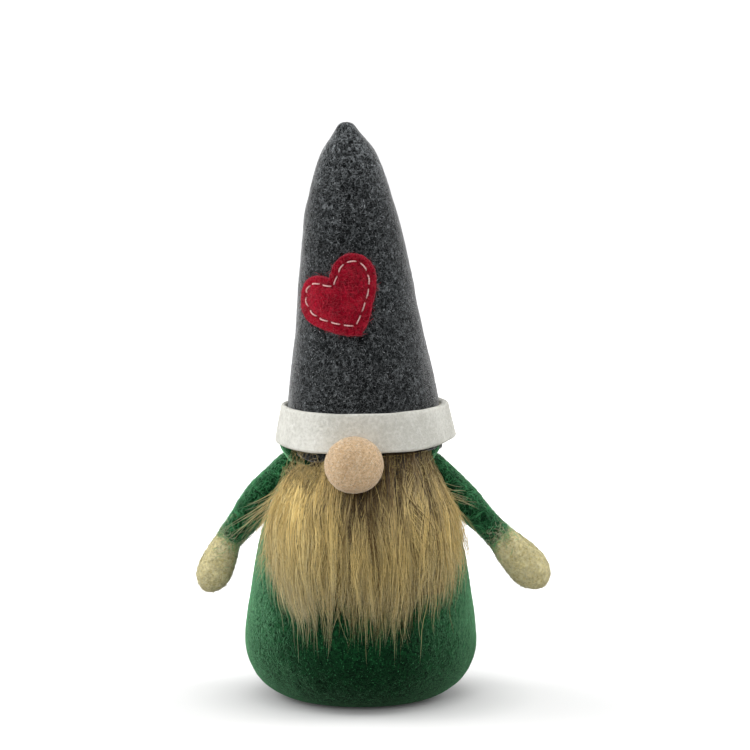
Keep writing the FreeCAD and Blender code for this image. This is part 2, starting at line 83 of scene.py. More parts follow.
# ---- sizes, in metres -------------------------------------------------------------------------
BODY_MIDDLE = Vector((0, 0, 38 * MM))
HAT_FOOT = Vector((1.9 * MM, 0, 88 * MM))
HAT_TOP = Vector((-5.0 * MM, 0, 198 * MM))
HAT_WALL = 2.3 * MM
BAND_TOP = 102.8 * MM
BAND_BOTTOM = 88.9 * MM
BAND_TOP_RADIUS = 28.8 * MM
BAND_BOTTOM_RADIUS = 31.4 * MM
BAND_WALL = 2.2 * MM
BAND_CENTRE_X = 1.25 * MM
BAND_TILT = math.radians(1.2)
HEART_TURN = math.radians(28.8)
HEART_NOTCH_AZIMUTH = math.radians(-25.8)
HEART_NOTCH_HEIGHT = 147.6 * MM
HEART_THICKNESS = 1.6 * MM
# right half of the flat heart and of its stitch line in millimetres: across and up from the notch
HEART_HALF = [(0, 0), (4.3, 3.2), (9.0, 4.1), (13.8, 2.0), (16.4, -3.0), (14.6, -9.2), (9.5, -14.8),
              (4.6, -19.2), (0, -21.8)]
STITCH_HALF = [(0, -3.1), (3.2, -0.9), (6.5, 1.2), (9.8, 1.3), (12.6, -0.6), (13.3, -4.2), (11.0, -9.2),
               (7.0, -13.0), (3.5, -15.8), (0, -18.0)]
STITCHES_EACH_SIDE = 8
STITCH_LENGTH = 3.3 * MM
SLEEVE_LENGTH = 33.0 * MM
SHOULDER_RADIUS = 5.6 * MM
SHOULDER = np.array([24.5, 0, 79.5]) * MM
ARM_ANGLES = {"left": (41.5, 24.0), "right": (45.0, 43.0)}
SLEEVE_SIDE = {"left": [(5.6, 0), (5.6, 8), (5.6, 16), (4.6, 26), (4.0, 31.4)],
               "right": [(5.6, 0), (5.6, 8), (5.3, 18), (4.6, 27), (4.7, 33)]}
SLEEVE_BOW = {"left": 1.1 * MM, "right": 0.3 * MM}
WRIST_BACK = {"left": 1.6 * MM, "right": 0.0}
HAND_STRETCH = {"left": 0.91, "right": 1.03}
SIDES = {"left": -1, "right": 1}
OUTWARD = {name: np.array([side, 1, 1]) for name, side in SIDES.items()}
HEM_HEIGHT = 87.2 * MM
HEM_DIP_FRONT = 2.3 * MM
HEM_DIP_BACK = 1.6 * MM
COLLAR_HEIGHTS = np.array([80, 83, 86.9, 89.8, 90.8]) * MM
COLLAR_RADII = np.array([0, 25.2, 27.6, 28.5, 0]) * MM
NOSE_CENTRE = np.array([-2.0, -38.0, 86.0]) * MM
NOSE_FLATTEN = 0.965
NOSE_RAISE = 0.35 * MM


# ---- random fields ----------------------------------------------------------------------------
class Field:
    """Smooth random numbers in space, from a repeating lattice of seeded values."""

    def __init__(self, seed, size=24):
        self.size = size
        self.values = np.random.default_rng(seed).uniform(-1, 1, (size, size, size))

    def at(self, points, wavelength):
        place = points / wavelength + 500.0
        cell = np.floor(place).astype(int)
        part = place - cell
        part = part * part * (3 - 2 * part)
        low, high = cell % self.size, (cell + 1) % self.size
        total = np.zeros(points.shape[:-1])
        for corner in range(8):
            pick = [(corner >> axis) & 1 for axis in range(3)]
            index = tuple((high if pick[axis] else low)[..., axis] for axis in range(3))
            weight = np.ones(points.shape[:-1])
            for axis in range(3):
                weight = weight * (part[..., axis] if pick[axis] else 1 - part[..., axis])
            total += weight * self.values[index]
        return total


def unit(vectors):
    return vectors / np.maximum(np.linalg.norm(vectors, axis=-1, keepdims=True), 1e-12)


def full_turn(count):
    """Even angles once round."""
    return np.linspace(0, 2 * math.pi, count, endpoint=False)


def travelled(points):
    """Distance along a polyline at each of its points."""
    return np.concatenate([[0], np.cumsum(np.linalg.norm(np.diff(points, axis=0), axis=1))])


def at_azimuth(azimuth, radius, height):
    """Points at an azimuth round the figure's axis (0 in front), a distance from it and a height."""
    return np.stack(np.broadcast_arrays(np.sin(azimuth) * radius, -np.cos(azimuth) * radius, height), -1)


def ease(value):
    value = np.clip(value, 0, 1)
    return value * value * (3 - 2 * value)


# ---- mesh helpers -----------------------------------------------------------------------------
def mesh_object(name, points, faces, material, uv=None, smooth=True):
    """Object from points and arrays of faces, with one colour-lookup place for each point if uv is given."""
    mesh = bpy.data.meshes.new(name)
    points = np.asarray(points, float).reshape(-1, 3)
    mesh.vertices.add(len(points))
    mesh.vertices.foreach_set("co", points.ravel())
    corners = np.concatenate([np.asarray(f).ravel() for f in faces]).astype(np.int32)
    sizes = np.concatenate([np.full(len(f), np.asarray(f).shape[1]) for f in faces])
    starts = np.concatenate([[0], np.cumsum(sizes)[:-1]]).astype(np.int32)
    mesh.loops.add(len(corners))
    mesh.loops.foreach_set("vertex_index", corners)
    mesh.polygons.add(len(sizes))
    mesh.polygons.foreach_set("loop_start", starts)
    mesh.polygons.foreach_set("use_smooth", np.full(len(sizes), smooth))
    if uv is not None:
        layer = mesh.uv_layers.new(name="OFBake")
        layer.data.foreach_set("uv", np.asarray(uv, float)[corners].ravel())
    mesh.update(calc_edges=True)
    mesh.validate()
    mesh.materials.append(material)
    return placed(name, mesh)


def ring_faces(rings, columns, first=0, closed=True):
    """Quads of a stack of rings."""
    row = np.arange(rings - 1)[:, None] * columns
    column = np.arange(columns if closed else columns - 1)[None, :]
    following = (column + 1) % columns
    quads = np.stack([row + column, row + following, row + columns + following, row + columns + column], -1)
    return quads.reshape(-1, 4) + first


def fans(rings, columns, first=0):
    """Triangles that close both ends of a stack of rings, to two middle points that follow it."""
    column = np.arange(columns)
    following = (column + 1) % columns
    last = (rings - 1) * columns
    middle = np.full(columns, rings * columns)
    return np.concatenate([np.stack([following, column, middle], -1),
                           np.stack([last + column, last + following, middle + 1], -1)]) + first


def ring_object(name, rings, material, flat=False):
    """Closed skin over a stack of rings (row, column, xyz), with a fan at each end.

    A flat ring goes out along the front and comes back along the back, and its ends are closed straight across.
    """
    rows, columns = rings.shape[:2]
    points = rings.reshape(-1, 3)
    if flat:
        near = np.arange(columns // 2 - 1)
        far = columns - 1 - near
        ends = np.concatenate([np.stack([near + 1, near, far, far - 1], -1),
                               np.stack([near, near + 1, far - 1, far], -1) + (rows - 1) * columns])
    else:
        points = np.concatenate([points, [rings[0].mean(0), rings[-1].mean(0)]])
        ends = fans(rows, columns)
    return mesh_object(name, points, [ring_faces(rows, columns), ends], material)


def grid_normals(rings, middle):
    """Outward normals of a stack of rings, facing away from a line of middle points."""
    across = np.roll(rings, -1, axis=1) - np.roll(rings, 1, axis=1)
    up = np.gradient(rings, axis=0)
    normal = unit(np.cross(across, up))
    facing = np.sum(normal * (rings - middle), axis=-1, keepdims=True)
    return np.where(facing < 0, -normal, normal)


def tree_of(obj):
    mesh = obj.data
    return BVHTree.FromPolygons([v.co.copy() for v in mesh.vertices], [tuple(p.vertices) for p in mesh.polygons])


def cast(tree, origins, directions, reach=0.15):
    """Distance from each origin to the outermost surface in its direction."""
    found = np.zeros(origins.shape[:-1])
    for index in np.ndindex(found.shape):
        origin, direction = Vector(origins[index]), Vector(directions[index])
        hit = tree.ray_cast(origin + direction * reach, -direction)
        found[index] = (hit[0] - origin).length if hit[0] else np.nan
    return found


def felt_relief(points, seed, lump, grain):
    """Height of hand-felted wool over its smooth shape: broad lumps and matted grain."""
    broad, fine = Field(seed), Field(seed + 1)
    height = lump * (0.7 * broad.at(points, 13 * MM) + 0.4 * fine.at(points, 6 * MM))
    return height + grain * (0.7 * broad.at(points, 1.9 * MM) + 0.5 * fine.at(points, 1.1 * MM))


def surface_samples(obj, count, rng):
    """Random points spread evenly over a mesh, with their normals."""
    mesh = obj.data
    mesh.calc_loop_triangles()
    triangles = np.empty(len(mesh.loop_triangles) * 3, np.int32)
    mesh.loop_triangles.foreach_get("vertices", triangles)
    triangles = triangles.reshape(-1, 3)
    points = np.empty(len(mesh.vertices) * 3)
    mesh.vertices.foreach_get("co", points)
    corners = points.reshape(-1, 3)[triangles]
    normal = np.cross(corners[:, 1] - corners[:, 0], corners[:, 2] - corners[:, 0])
    area = np.linalg.norm(normal, axis=1)
    pick = rng.choice(len(area), count, p=area / area.sum())
    mix = rng.dirichlet((1, 1, 1), count)
    return np.einsum("ij,ijk->ik", mix, corners[pick]), unit(normal[pick])


# ---- strands ----------------------------------------------------------------------------------
def strand_object(name, paths, radii, tones, material, rng, groups=1, starts=None):
    """Tapered three-sided fibres along paths (strand, step, xyz), as closed meshes. u is tone, v is along."""
    made = []
    starts = np.zeros(len(paths)) if starts is None else starts
    for part, chosen in enumerate(np.array_split(np.arange(len(paths)), groups)):
        path, radius, tone, start = paths[chosen], radii[chosen], tones[chosen], starts[chosen]
        count, steps = path.shape[:2]
        forward = unit(np.gradient(path, axis=1))
        side = unit(np.cross(forward, unit(rng.normal(size=(count, 1, 3)))))
        other = np.cross(forward, side)
        body = []
        for corner in range(3):
            angle = 2 * math.pi * corner / 3
            offset = side * math.cos(angle) + other * math.sin(angle)
            body.append(path + offset * radius[..., None])
        rings = np.stack(body, 2)[:, :-1]
        points = np.concatenate([rings.reshape(count, -1, 3), path[:, -1:]], 1)
        each = points.shape[1]
        base = (np.arange(count) * each)[:, None, None]
        quads = ring_faces(steps - 1, 3)[None] + base
        last = (steps - 2) * 3
        tips = np.array([[last, last + 1, each - 1], [last + 1, last + 2, each - 1], [last + 2, last, each - 1]])
        foot = np.array([[2, 1, 0]])
        caps = np.concatenate([tips, foot])[None] + base
        along = np.concatenate([np.repeat(np.arange(steps - 1), 3), [steps - 1]]) / (steps - 1)
        sway = np.concatenate([np.tile([-0.004, 0.004, 0.0], steps - 1), [0.0]])
        uv = np.empty((count, each, 2))
        uv[..., 0] = np.clip(tone[:, None], 0.01, 0.99) + sway
        uv[..., 1] = 0.01 + 0.98 * np.clip(start[:, None] + (1 - start[:, None]) * along, 0, 1)
        label = name if groups == 1 else f"{name}_{part + 1}"
        made.append(mesh_object(label, points, [quads.reshape(-1, 4), caps.reshape(-1, 3)],
                                material, uv.reshape(-1, 2)))
    return made


def fuzz(name, host, material, count, seed, length=(2.0, 4.5), lift=0.35, stand=0.15, width=0.045,
         curl=0.5, groups=1, keep=None, skew=1.0):
    """Loose curly wool fibres on a felted surface. Most lie along it and a share of them stands off."""
    rng = np.random.default_rng(seed)
    start, normal = surface_samples(host, count, rng)
    if keep is not None:
        chosen = keep(start)
        start, normal = start[chosen], normal[chosen]
    count = len(start)
    steps = 7
    tree = tree_of(host)
    heading = unit(np.cross(normal, rng.normal(size=(count, 3))))
    total = rng.uniform(*length, count) * MM
    rate = rng.normal(0, curl, count) / MM
    change = rng.normal(0, curl * 0.8, count) / MM
    stands = rng.random(count) < stand
    top = np.where(stands, rng.uniform(0.6, 1.9, count), rng.uniform(0.15, 1.0, count) * lift) * MM
    step = total / (steps - 1)
    path = np.empty((count, steps, 3))
    place = start.copy()
    for k in range(steps):
        share = k / (steps - 1)
        if k:
            turn = (rate + change * (share - 0.5) * 2) * step
            square = np.cross(normal, heading)
            heading = heading * np.cos(turn)[:, None] + square * np.sin(turn)[:, None]
            place = place + heading * step[:, None]
        for i in range(count):
            near = tree.find_nearest(Vector(place[i]))
            place[i], normal[i] = near[0], near[1]
        heading = unit(heading - normal * np.sum(heading * normal, axis=1, keepdims=True))
        rise = np.where(stands, share ** 1.4, math.sin(math.pi * (0.12 + 0.8 * share)))
        path[:, k] = place + normal * (top * rise - (0.06 * MM if k == 0 else 0))[:, None]
    taper = np.interp(np.arange(steps) / (steps - 1), [0, 0.7, 1], [1.0, 0.8, 0.35])
    tone = rng.random(count) ** skew
    radii = width * MM * (rng.uniform(0.6, 1.1, count) * (0.75 + 0.75 * tone))[:, None] * taper
    return strand_object(name, path, radii, tone, material, rng, groups)


# ---- materials --------------------------------------------------------------------------------
def srgb(red, green, blue):
    """Linear colour of an 8-bit screen colour."""
    return tuple((c / 255 / 12.92 if c <= 10 else ((c / 255 + 0.055) / 1.055) ** 2.4) for c in (red, green, blue))


class Nodes:
    """Short names for building one material's nodes."""

    def __init__(self, name, roughness=0.9, sheen=0.0, sheen_tint=(1, 1, 1), specular=0.25, metallic=0.0):
        self.material = bpy.data.materials.new(name)
        self.material.use_nodes = True
        self.tree = self.material.node_tree
        self.shader = self.tree.nodes["Principled BSDF"]
        self.shader.inputs["Roughness"].default_value = roughness
        self.shader.inputs["Sheen Weight"].default_value = sheen
        self.shader.inputs["Sheen Roughness"].default_value = 0.3
        self.shader.inputs["Sheen Tint"].default_value = (*sheen_tint, 1)
        self.shader.inputs["Specular IOR Level"].default_value = specular
        self.shader.inputs["Metallic"].default_value = metallic

    def feed(self, socket, value):
        if isinstance(value, bpy.types.NodeSocket):
            self.tree.links.new(value, socket)
        else:
            socket.default_value = value

    def add(self, kind, **inputs):
        node = self.tree.nodes.new(kind)
        for key, value in inputs.items():
            self.feed(node.inputs[key.replace("_", " ")], value)
        return node

    def operate(self, kind, operation, *values):
        node = self.tree.nodes.new(kind)
        node.operation = operation
        for socket, value in zip(node.inputs, values):
            self.feed(socket, value)
        return node

    def maths(self, operation, a, b=0.0, clamp=False):
        node = self.operate("ShaderNodeMath", operation, a, b)
        node.use_clamp = clamp
        return node.outputs[0]

    def vector(self, operation, a, b=(0, 0, 0)):
        node = self.operate("ShaderNodeVectorMath", operation, a, b)
        return node.outputs["Value" if operation == "LENGTH" else "Vector"]

    def spread(self, value, low, high, to_low=0.0, to_high=1.0):
        node = self.add("ShaderNodeMapRange", Value=value)
        for socket, number in zip(node.inputs[1:5], (low, high, to_low, to_high)):
            socket.default_value = number
        return node.outputs[0]

    def blend(self, share, a, b):
        node = self.tree.nodes.new("ShaderNodeMix")
        node.data_type = "RGBA"
        self.feed(node.inputs[0], share)
        for index, colour in ((6, a), (7, b)):
            self.feed(node.inputs[index], colour if isinstance(colour, bpy.types.NodeSocket) else (*colour, 1))
        return node.outputs[2]

    def place(self):
        """Place on the object in millimetres."""
        spot = self.tree.nodes.new("ShaderNodeTexCoord").outputs["Object"]
        return self.vector("MULTIPLY", spot, (1000, 1000, 1000))

    def strand(self):
        """Tone of a strand and place along it from root to tip."""
        spot = self.tree.nodes.new("ShaderNodeUVMap")
        spot.uv_map = "OFBake"
        return self.add("ShaderNodeSeparateXYZ", Vector=spot.outputs[0]).outputs[:2]

    def noise(self, place, scale, detail=2.0, roughness=0.5, output=0):
        node = self.add("ShaderNodeTexNoise", Vector=place, Scale=scale, Detail=detail, Roughness=roughness)
        return node.outputs[output]

    def colour(self, socket):
        self.tree.links.new(socket, self.shader.inputs["Base Color"])

    def bump(self, height, strength, depth):
        node = self.add("ShaderNodeBump", Height=height, Strength=strength, Distance=depth)
        self.tree.links.new(node.outputs[0], self.shader.inputs["Normal"])


def felt(name, dark, mid, light, fibre_share=0.6, sheen=0.5, scale=1.0, thin=0.03, tint=(1, 1, 1), mottle=0.5,
         foot=1.0, crown=1.0, bumpy=0.7):
    """Felted wool: matted ground with thin curly fibres drawn over it.

    It is painted darker close to the ground by a share (foot), painted shade from the floor, and has more pale fibres
    at the top (crown), painted light on the top.
    """
    n = Nodes(name, roughness=0.95, sheen=sheen, sheen_tint=tint, specular=0.06)
    place = n.place()
    warp = n.vector("SUBTRACT", n.noise(place, 0.42 * scale, 2.0, output=1), (0.5, 0.5, 0.5))
    warped = n.vector("ADD", place, n.vector("MULTIPLY", warp, (3.2, 3.2, 3.2)))
    lines = None
    for index, size in enumerate((0.3, 0.45, 0.7, 1.1)):
        moved = n.vector("ADD", warped, (17.3 * index, 5.1 * index, 9.7 * index))
        level = n.maths("ABSOLUTE", n.maths("SUBTRACT", n.noise(moved, size * scale, 1.5), 0.5))
        line = n.spread(level, 0.0, thin, 1.0, 0.0)
        lines = line if lines is None else n.maths("MAXIMUM", lines, line)
    matted = n.noise(place, 1.1 * scale, 5.0, 0.68)
    broad = n.spread(n.noise(place, 0.08, 3.0), 0.35, 0.65)
    ground = n.maths("ADD", n.spread(matted, 0.36, 0.64), n.maths("MULTIPLY", n.maths("SUBTRACT", broad, 0.5), mottle),
                     clamp=True)
    patchy = n.spread(n.noise(place, 0.55 * scale, 2.0), 0.35, 0.7, 0.35, 1.0)
    share = n.maths("MULTIPLY", n.maths("MULTIPLY", lines, patchy), fibre_share)
    height = n.add("ShaderNodeSeparateXYZ", Vector=place).outputs[2]
    # painted light: a bigger share of pale fibres towards the hat's tip, for the light falling on its top
    if crown > 1:
        share = n.maths("MULTIPLY", share, n.spread(height, 170, 193, 1.0, crown))
    wool = n.blend(share, n.blend(ground, dark, mid), light)
    if foot < 1:
        # painted shade: colour and sheen fade towards black over the lowest 30 mm, where the felt meets the floor and
        # falls into shade
        painted_floor_shade = n.spread(height, 3, 30, foot, 1.0)
        wool = n.blend(painted_floor_shade, (0.0, 0.0, 0.0), wool)
        n.tree.links.new(n.maths("MULTIPLY", painted_floor_shade, sheen), n.shader.inputs["Sheen Weight"])
    n.colour(wool)
    n.bump(n.maths("ADD", n.maths("MULTIPLY", lines, 0.6), matted), bumpy, 0.00022)
    return n.material


def fibre(name, dark, light, roughness=0.6):
    """Loose wool fibre: tone runs along u and the tip is a little paler."""
    n = Nodes(name, roughness=roughness, specular=0.2, sheen=0.2)
    tone, along = n.strand()
    n.colour(n.blend(n.maths("ADD", tone, n.maths("MULTIPLY", along, 0.25), clamp=True), dark, light))
    return n.material


def pile(name, steps):
    """Beard hair: v runs from root to tip and u from dark hair to pale hair. steps are (v, dark, pale)."""
    n = Nodes(name, roughness=0.42, specular=0.35)
    tone, along = n.strand()
    ramps = []
    for column in (1, 2):
        ramp = n.add("ShaderNodeValToRGB", Fac=along)
        stops = ramp.color_ramp.elements
        while len(stops) < len(steps):
            stops.new(0.5)
        for stop, step in zip(stops, steps):
            stop.position = step[0]
            stop.color = (*step[column], 1)
        ramps.append(ramp.outputs[0])
    n.colour(n.blend(tone, *ramps))
    return n.material


def thread(name, dark, light):
    """Twisted sewing thread."""
    n = Nodes(name, roughness=0.6, sheen=0.3, specular=0.3)
    place = n.place()
    fine = n.noise(place, 6.0, 3.0, 0.6)
    n.colour(n.blend(n.spread(fine, 0.3, 0.7), dark, light))
    n.bump(fine, 0.5, 0.00006)
    return n.material


def plain(name, dark, light, scale, roughness, metallic=0.0, depth=0.00005, specular=0.4):
    """Simple mottled finish for the pieces sealed inside."""
    n = Nodes(name, roughness=roughness, metallic=metallic, specular=specular)
    grain = n.noise(n.place(), scale, 4.0, 0.6)
    n.colour(n.blend(n.spread(grain, 0.3, 0.7), dark, light))
    n.bump(grain, 0.5, depth)
    return n.material


# crown=2.1 paints light on the top of the hat as extra pale fibres
GREY_FELT = felt("grey_felt", srgb(3, 4, 5), srgb(13, 16, 17), srgb(190, 196, 199), 0.34, 1.05, scale=1.1,
                 thin=0.022, mottle=0.9, crown=2.1, bumpy=0.34)
GREEN_FELT = felt("green_felt", srgb(2, 22, 11), srgb(7, 49, 24), srgb(54, 138, 80), 0.34, 1.0,
                  tint=(0.62, 1.5, 0.78))
# foot=0.25 paints the floor's shade on the lowest part of the bell
BODY_FELT = felt("body_green_felt", srgb(2, 22, 11), srgb(7, 50, 25), srgb(58, 144, 84), 0.38, 1.0,
                 tint=(0.66, 1.6, 0.84), foot=0.25)
WHITE_FELT = felt("white_felt", srgb(208, 207, 197), srgb(232, 231, 222), srgb(244, 243, 238), 0.6, 0.1, scale=0.8,
                  thin=0.02, mottle=1.1)
RED_FELT = felt("red_felt", srgb(104, 2, 20), srgb(166, 9, 37), srgb(214, 44, 70), 0.6, 0.7, scale=0.9,
                tint=(1, 0.25, 0.35), mottle=0.8)
BEIGE_FELT = felt("beige_felt", srgb(184, 150, 112), srgb(224, 192, 152), srgb(250, 232, 202), 0.5, 0.8, scale=1.1,
                  tint=(1, 0.88, 0.72), bumpy=0.5)
CREAM_FELT = felt("cream_felt", srgb(184, 170, 110), srgb(240, 228, 172), srgb(250, 245, 212), 0.7, 0.4, scale=0.75)
GREY_FIBRE = fibre("grey_fibre", srgb(10, 12, 13), srgb(198, 203, 206))
GREEN_FIBRE = fibre("green_fibre", srgb(3, 34, 17), srgb(104, 208, 136))
WHITE_FIBRE = fibre("white_fibre", srgb(214, 213, 205), srgb(244, 243, 238))
RED_FIBRE = fibre("red_fibre", srgb(110, 3, 22), srgb(214, 50, 70))
BEIGE_FIBRE = fibre("beige_fibre", srgb(104, 72, 46), srgb(252, 238, 212))
CREAM_FIBRE = fibre("cream_fibre", srgb(160, 150, 92), srgb(246, 241, 206))
BEARD_HAIR = pile("beard_hair", [
    (0.0, srgb(26, 17, 7), srgb(86, 65, 34)),
    (0.1, srgb(28, 18, 7), srgb(118, 95, 56)),
    (0.28, srgb(52, 35, 13), srgb(222, 198, 138)),
    (0.6, srgb(100, 74, 28), srgb(250, 224, 148)),
    (0.88, srgb(114, 90, 42), srgb(252, 234, 172)),
    (1.0, srgb(160, 142, 96), srgb(252, 244, 208))])
PINK_THREAD = thread("pink_thread", srgb(226, 168, 166), srgb(250, 216, 210))
GREEN_THREAD = thread("green_thread", srgb(16, 60, 34), srgb(40, 104, 62))
STRONG_THREAD = thread("strong_thread", srgb(170, 164, 148), srgb(214, 208, 192))
PILE_BACKING = plain("pile_backing", srgb(84, 66, 46), srgb(128, 104, 76), 1.4, 0.9, depth=0.0003)
CALICO = plain("calico", srgb(186, 178, 154), srgb(222, 216, 198), 3.0, 0.85)
GRIT = plain("grit", srgb(104, 98, 88), srgb(190, 184, 172), 0.7, 0.8, depth=0.0004)
STUFFING = plain("stuffing", srgb(214, 214, 210), srgb(244, 244, 242), 0.9, 0.95, depth=0.0006)
GLUE = plain("glue", srgb(196, 188, 158), srgb(226, 220, 196), 0.5, 0.35, depth=0.0001)
WIRE = plain("wire", srgb(120, 120, 122), srgb(168, 168, 170), 4.0, 0.4, metallic=1.0)
BUTTON_WOOD = plain("button_wood", srgb(142, 104, 66), srgb(190, 150, 104), 0.9, 0.5)


def beard_core_material():
    """Dense undercoat, drawn out along the fall of the hair; its dark colour is also painted shade of the deep gaps
    between the locks.
    """
    n = Nodes("beard_undercoat_and_shade", roughness=0.8, specular=0.15)
    place = n.vector("MULTIPLY", n.place(), (1.0, 0.45, 0.05))
    streak = n.noise(place, 2.6, 4.0, 0.65)
    # painted shade: very dark browns, for the shade deep in the gaps between the locks
    n.colour(n.blend(n.spread(streak, 0.32, 0.68), srgb(20, 12, 5), srgb(60, 42, 19)))
    n.bump(streak, 0.8, 0.0004)
    return n.material


BEARD_UNDERCOAT_AND_SHADE = beard_core_material()

trees = {name: tree_of(nodes[name]) for name in
         ("body_shell", "hat_cone", "nose_ball", "left_arm_sleeve", "right_arm_sleeve", "left_hand", "right_hand")}


def stand_in(piece, node, body_name):
    """Show a piece in place of a node of the model, on its body."""
    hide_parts(node)
    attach(piece, body_name)


# ---- body -------------------------------------------------------------------------------------
def along_profile(points, count):
    """Points of a polyline at even spacing along it."""
    points = np.asarray(points, float)
    travel = travelled(points)
    at = np.linspace(0, travel[-1], count)
    return np.stack([np.interp(at, travel, points[:, k]) for k in range(points.shape[1])], 1)


def body_profile():
    """Radius and height down the back of the bell, from its neck to the middle of its foot."""
    angles = np.radians(np.linspace(18, 180, 700))
    directions = np.stack([np.zeros_like(angles), np.sin(angles), np.cos(angles)], 1)
    middle = np.array(BODY_MIDDLE)
    far = cast(trees["body_shell"], np.tile(middle, (len(angles), 1)), directions)
    return np.stack([far * np.sin(angles), middle[2] + far * np.cos(angles)], 1)


BODY_PROFILE = body_profile()
_side = BODY_PROFILE[BODY_PROFILE[:, 1] > 20 * MM][::-1]


def bell_radius(height):
    """Outside radius of the bell at a height above its round lower edge."""
    return np.interp(height, _side[:, 1], _side[:, 0])


def shoulder_fade(points):
    """0 close to the sockets of the arms and 1 away from them."""
    nearest = np.full(points.shape[:-1], 1.0)
    for outward in OUTWARD.values():
        nearest = np.minimum(nearest, np.linalg.norm(points - SHOULDER * outward, axis=-1))
    return ease((nearest - 7 * MM) / (4 * MM))


def make_body():
    rows, columns = 232, 420
    profile = along_profile(BODY_PROFILE, rows)[:-1]
    azimuth = full_turn(columns)
    around = np.stack([np.sin(azimuth), -np.cos(azimuth)], 1)
    aim = np.concatenate([profile[:, None, :1] * around[None], np.repeat(profile[:, None, 1:], columns, 1)], 2)
    middle = np.array(BODY_MIDDLE)
    directions = unit(aim - middle)
    origins = np.broadcast_to(middle, directions.shape)
    points = middle + directions * cast(trees["body_shell"], origins, directions)[..., None]
    radius = np.hypot(points[..., 0], points[..., 1])
    inside = (radius < 22.1 * MM) & (points[..., 2] < 0.9 * MM)
    points[..., 2] = np.where(inside, 0.8 * MM, points[..., 2])
    radius = np.hypot(points[..., 0], points[..., 1])
    full = np.interp(points[..., 2], COLLAR_HEIGHTS, COLLAR_RADII)
    behind = points[..., 1] > 0
    beside = ease((np.abs(points[..., 0]) / np.maximum(radius, 1e-6) - np.where(behind, 0.4, 0.82))
                  / np.where(behind, 0.55, 0.13))
    points[..., :2] *= (1 + np.maximum(full / np.maximum(radius, 1e-6) - 1, 0) * beside)[..., None]
    axis = np.zeros_like(points)
    axis[..., 2] = np.clip(points[..., 2], 20 * MM, 80 * MM)
    normal = grid_normals(points, axis)
    relief = felt_relief(points, 11, 0.32 * MM, 0.07 * MM) * (0.2 + 0.8 * shoulder_fade(points))
    relief = relief * ease((points[..., 2] - 0.9 * MM) / (4 * MM))
    points = points + normal * relief[..., None]
    body = ring_object("body_felt", points, BODY_FELT)
    stand_in(body, "body_shell", "root")

    radii = np.concatenate([np.linspace(0.5, 18.3, 36), [18.7, 18.85, 18.85]]) * MM
    heights = np.concatenate([np.zeros(36), [0.08, 0.35, 0.85]]) * MM
    azimuth = full_turn(240)
    disc = np.empty((len(radii), 240, 3))
    disc[..., 0] = radii[:, None] * np.cos(azimuth)
    disc[..., 1] = radii[:, None] * np.sin(azimuth)
    disc[..., 2] = heights[:, None]
    pits = np.abs(Field(23).at(disc, 1.4 * MM)) * 0.12 * MM
    disc[..., 2] += np.where(heights[:, None] < 0.05 * MM, pits, 0)
    base = ring_object("base_felt", disc[::-1], GREEN_FELT)
    stand_in(base, "base_disc", "root")
    return body


# ---- hat --------------------------------------------------------------------------------------
HAT_AXIS = unit(np.array(HAT_TOP - HAT_FOOT))
HAT_ACROSS = unit(np.array([1.0, 0, 0]) - HAT_AXIS * HAT_AXIS[0])


def axis_point(height):
    """Point of the hat's leaning axis at a height."""
    share = (np.asarray(height) - HAT_FOOT.z) / HAT_AXIS[2]
    return np.array(HAT_FOOT) + share[..., None] * HAT_AXIS


def hat_outward(azimuth):
    azimuth = np.asarray(azimuth)
    return np.sin(azimuth)[..., None] * HAT_ACROSS + np.cos(azimuth)[..., None] * np.array([0, -1.0, 0])


def hat_profile():
    """Radius and axis height from the tip of the hat down to its hem."""
    centre = 188 * MM
    angles = np.radians(np.linspace(0.5, 90, 60))
    back = hat_outward(np.array(math.pi))
    directions = np.sin(angles)[:, None] * back + np.cos(angles)[:, None] * HAT_AXIS
    origins = np.tile(axis_point(np.array(centre)), (len(angles), 1))
    far = cast(trees["hat_cone"], origins, directions)
    cap = np.stack([far * np.sin(angles), centre + far * np.cos(angles) * HAT_AXIS[2]], 1)
    heights = np.linspace(centre - 0.4 * MM, 88.4 * MM, 260)
    radius = cast(trees["hat_cone"], axis_point(heights), np.tile(back, (len(heights), 1)))
    foot = [[radius[-1], HEM_HEIGHT]]
    return np.concatenate([cap, np.stack([radius, heights], 1), foot])


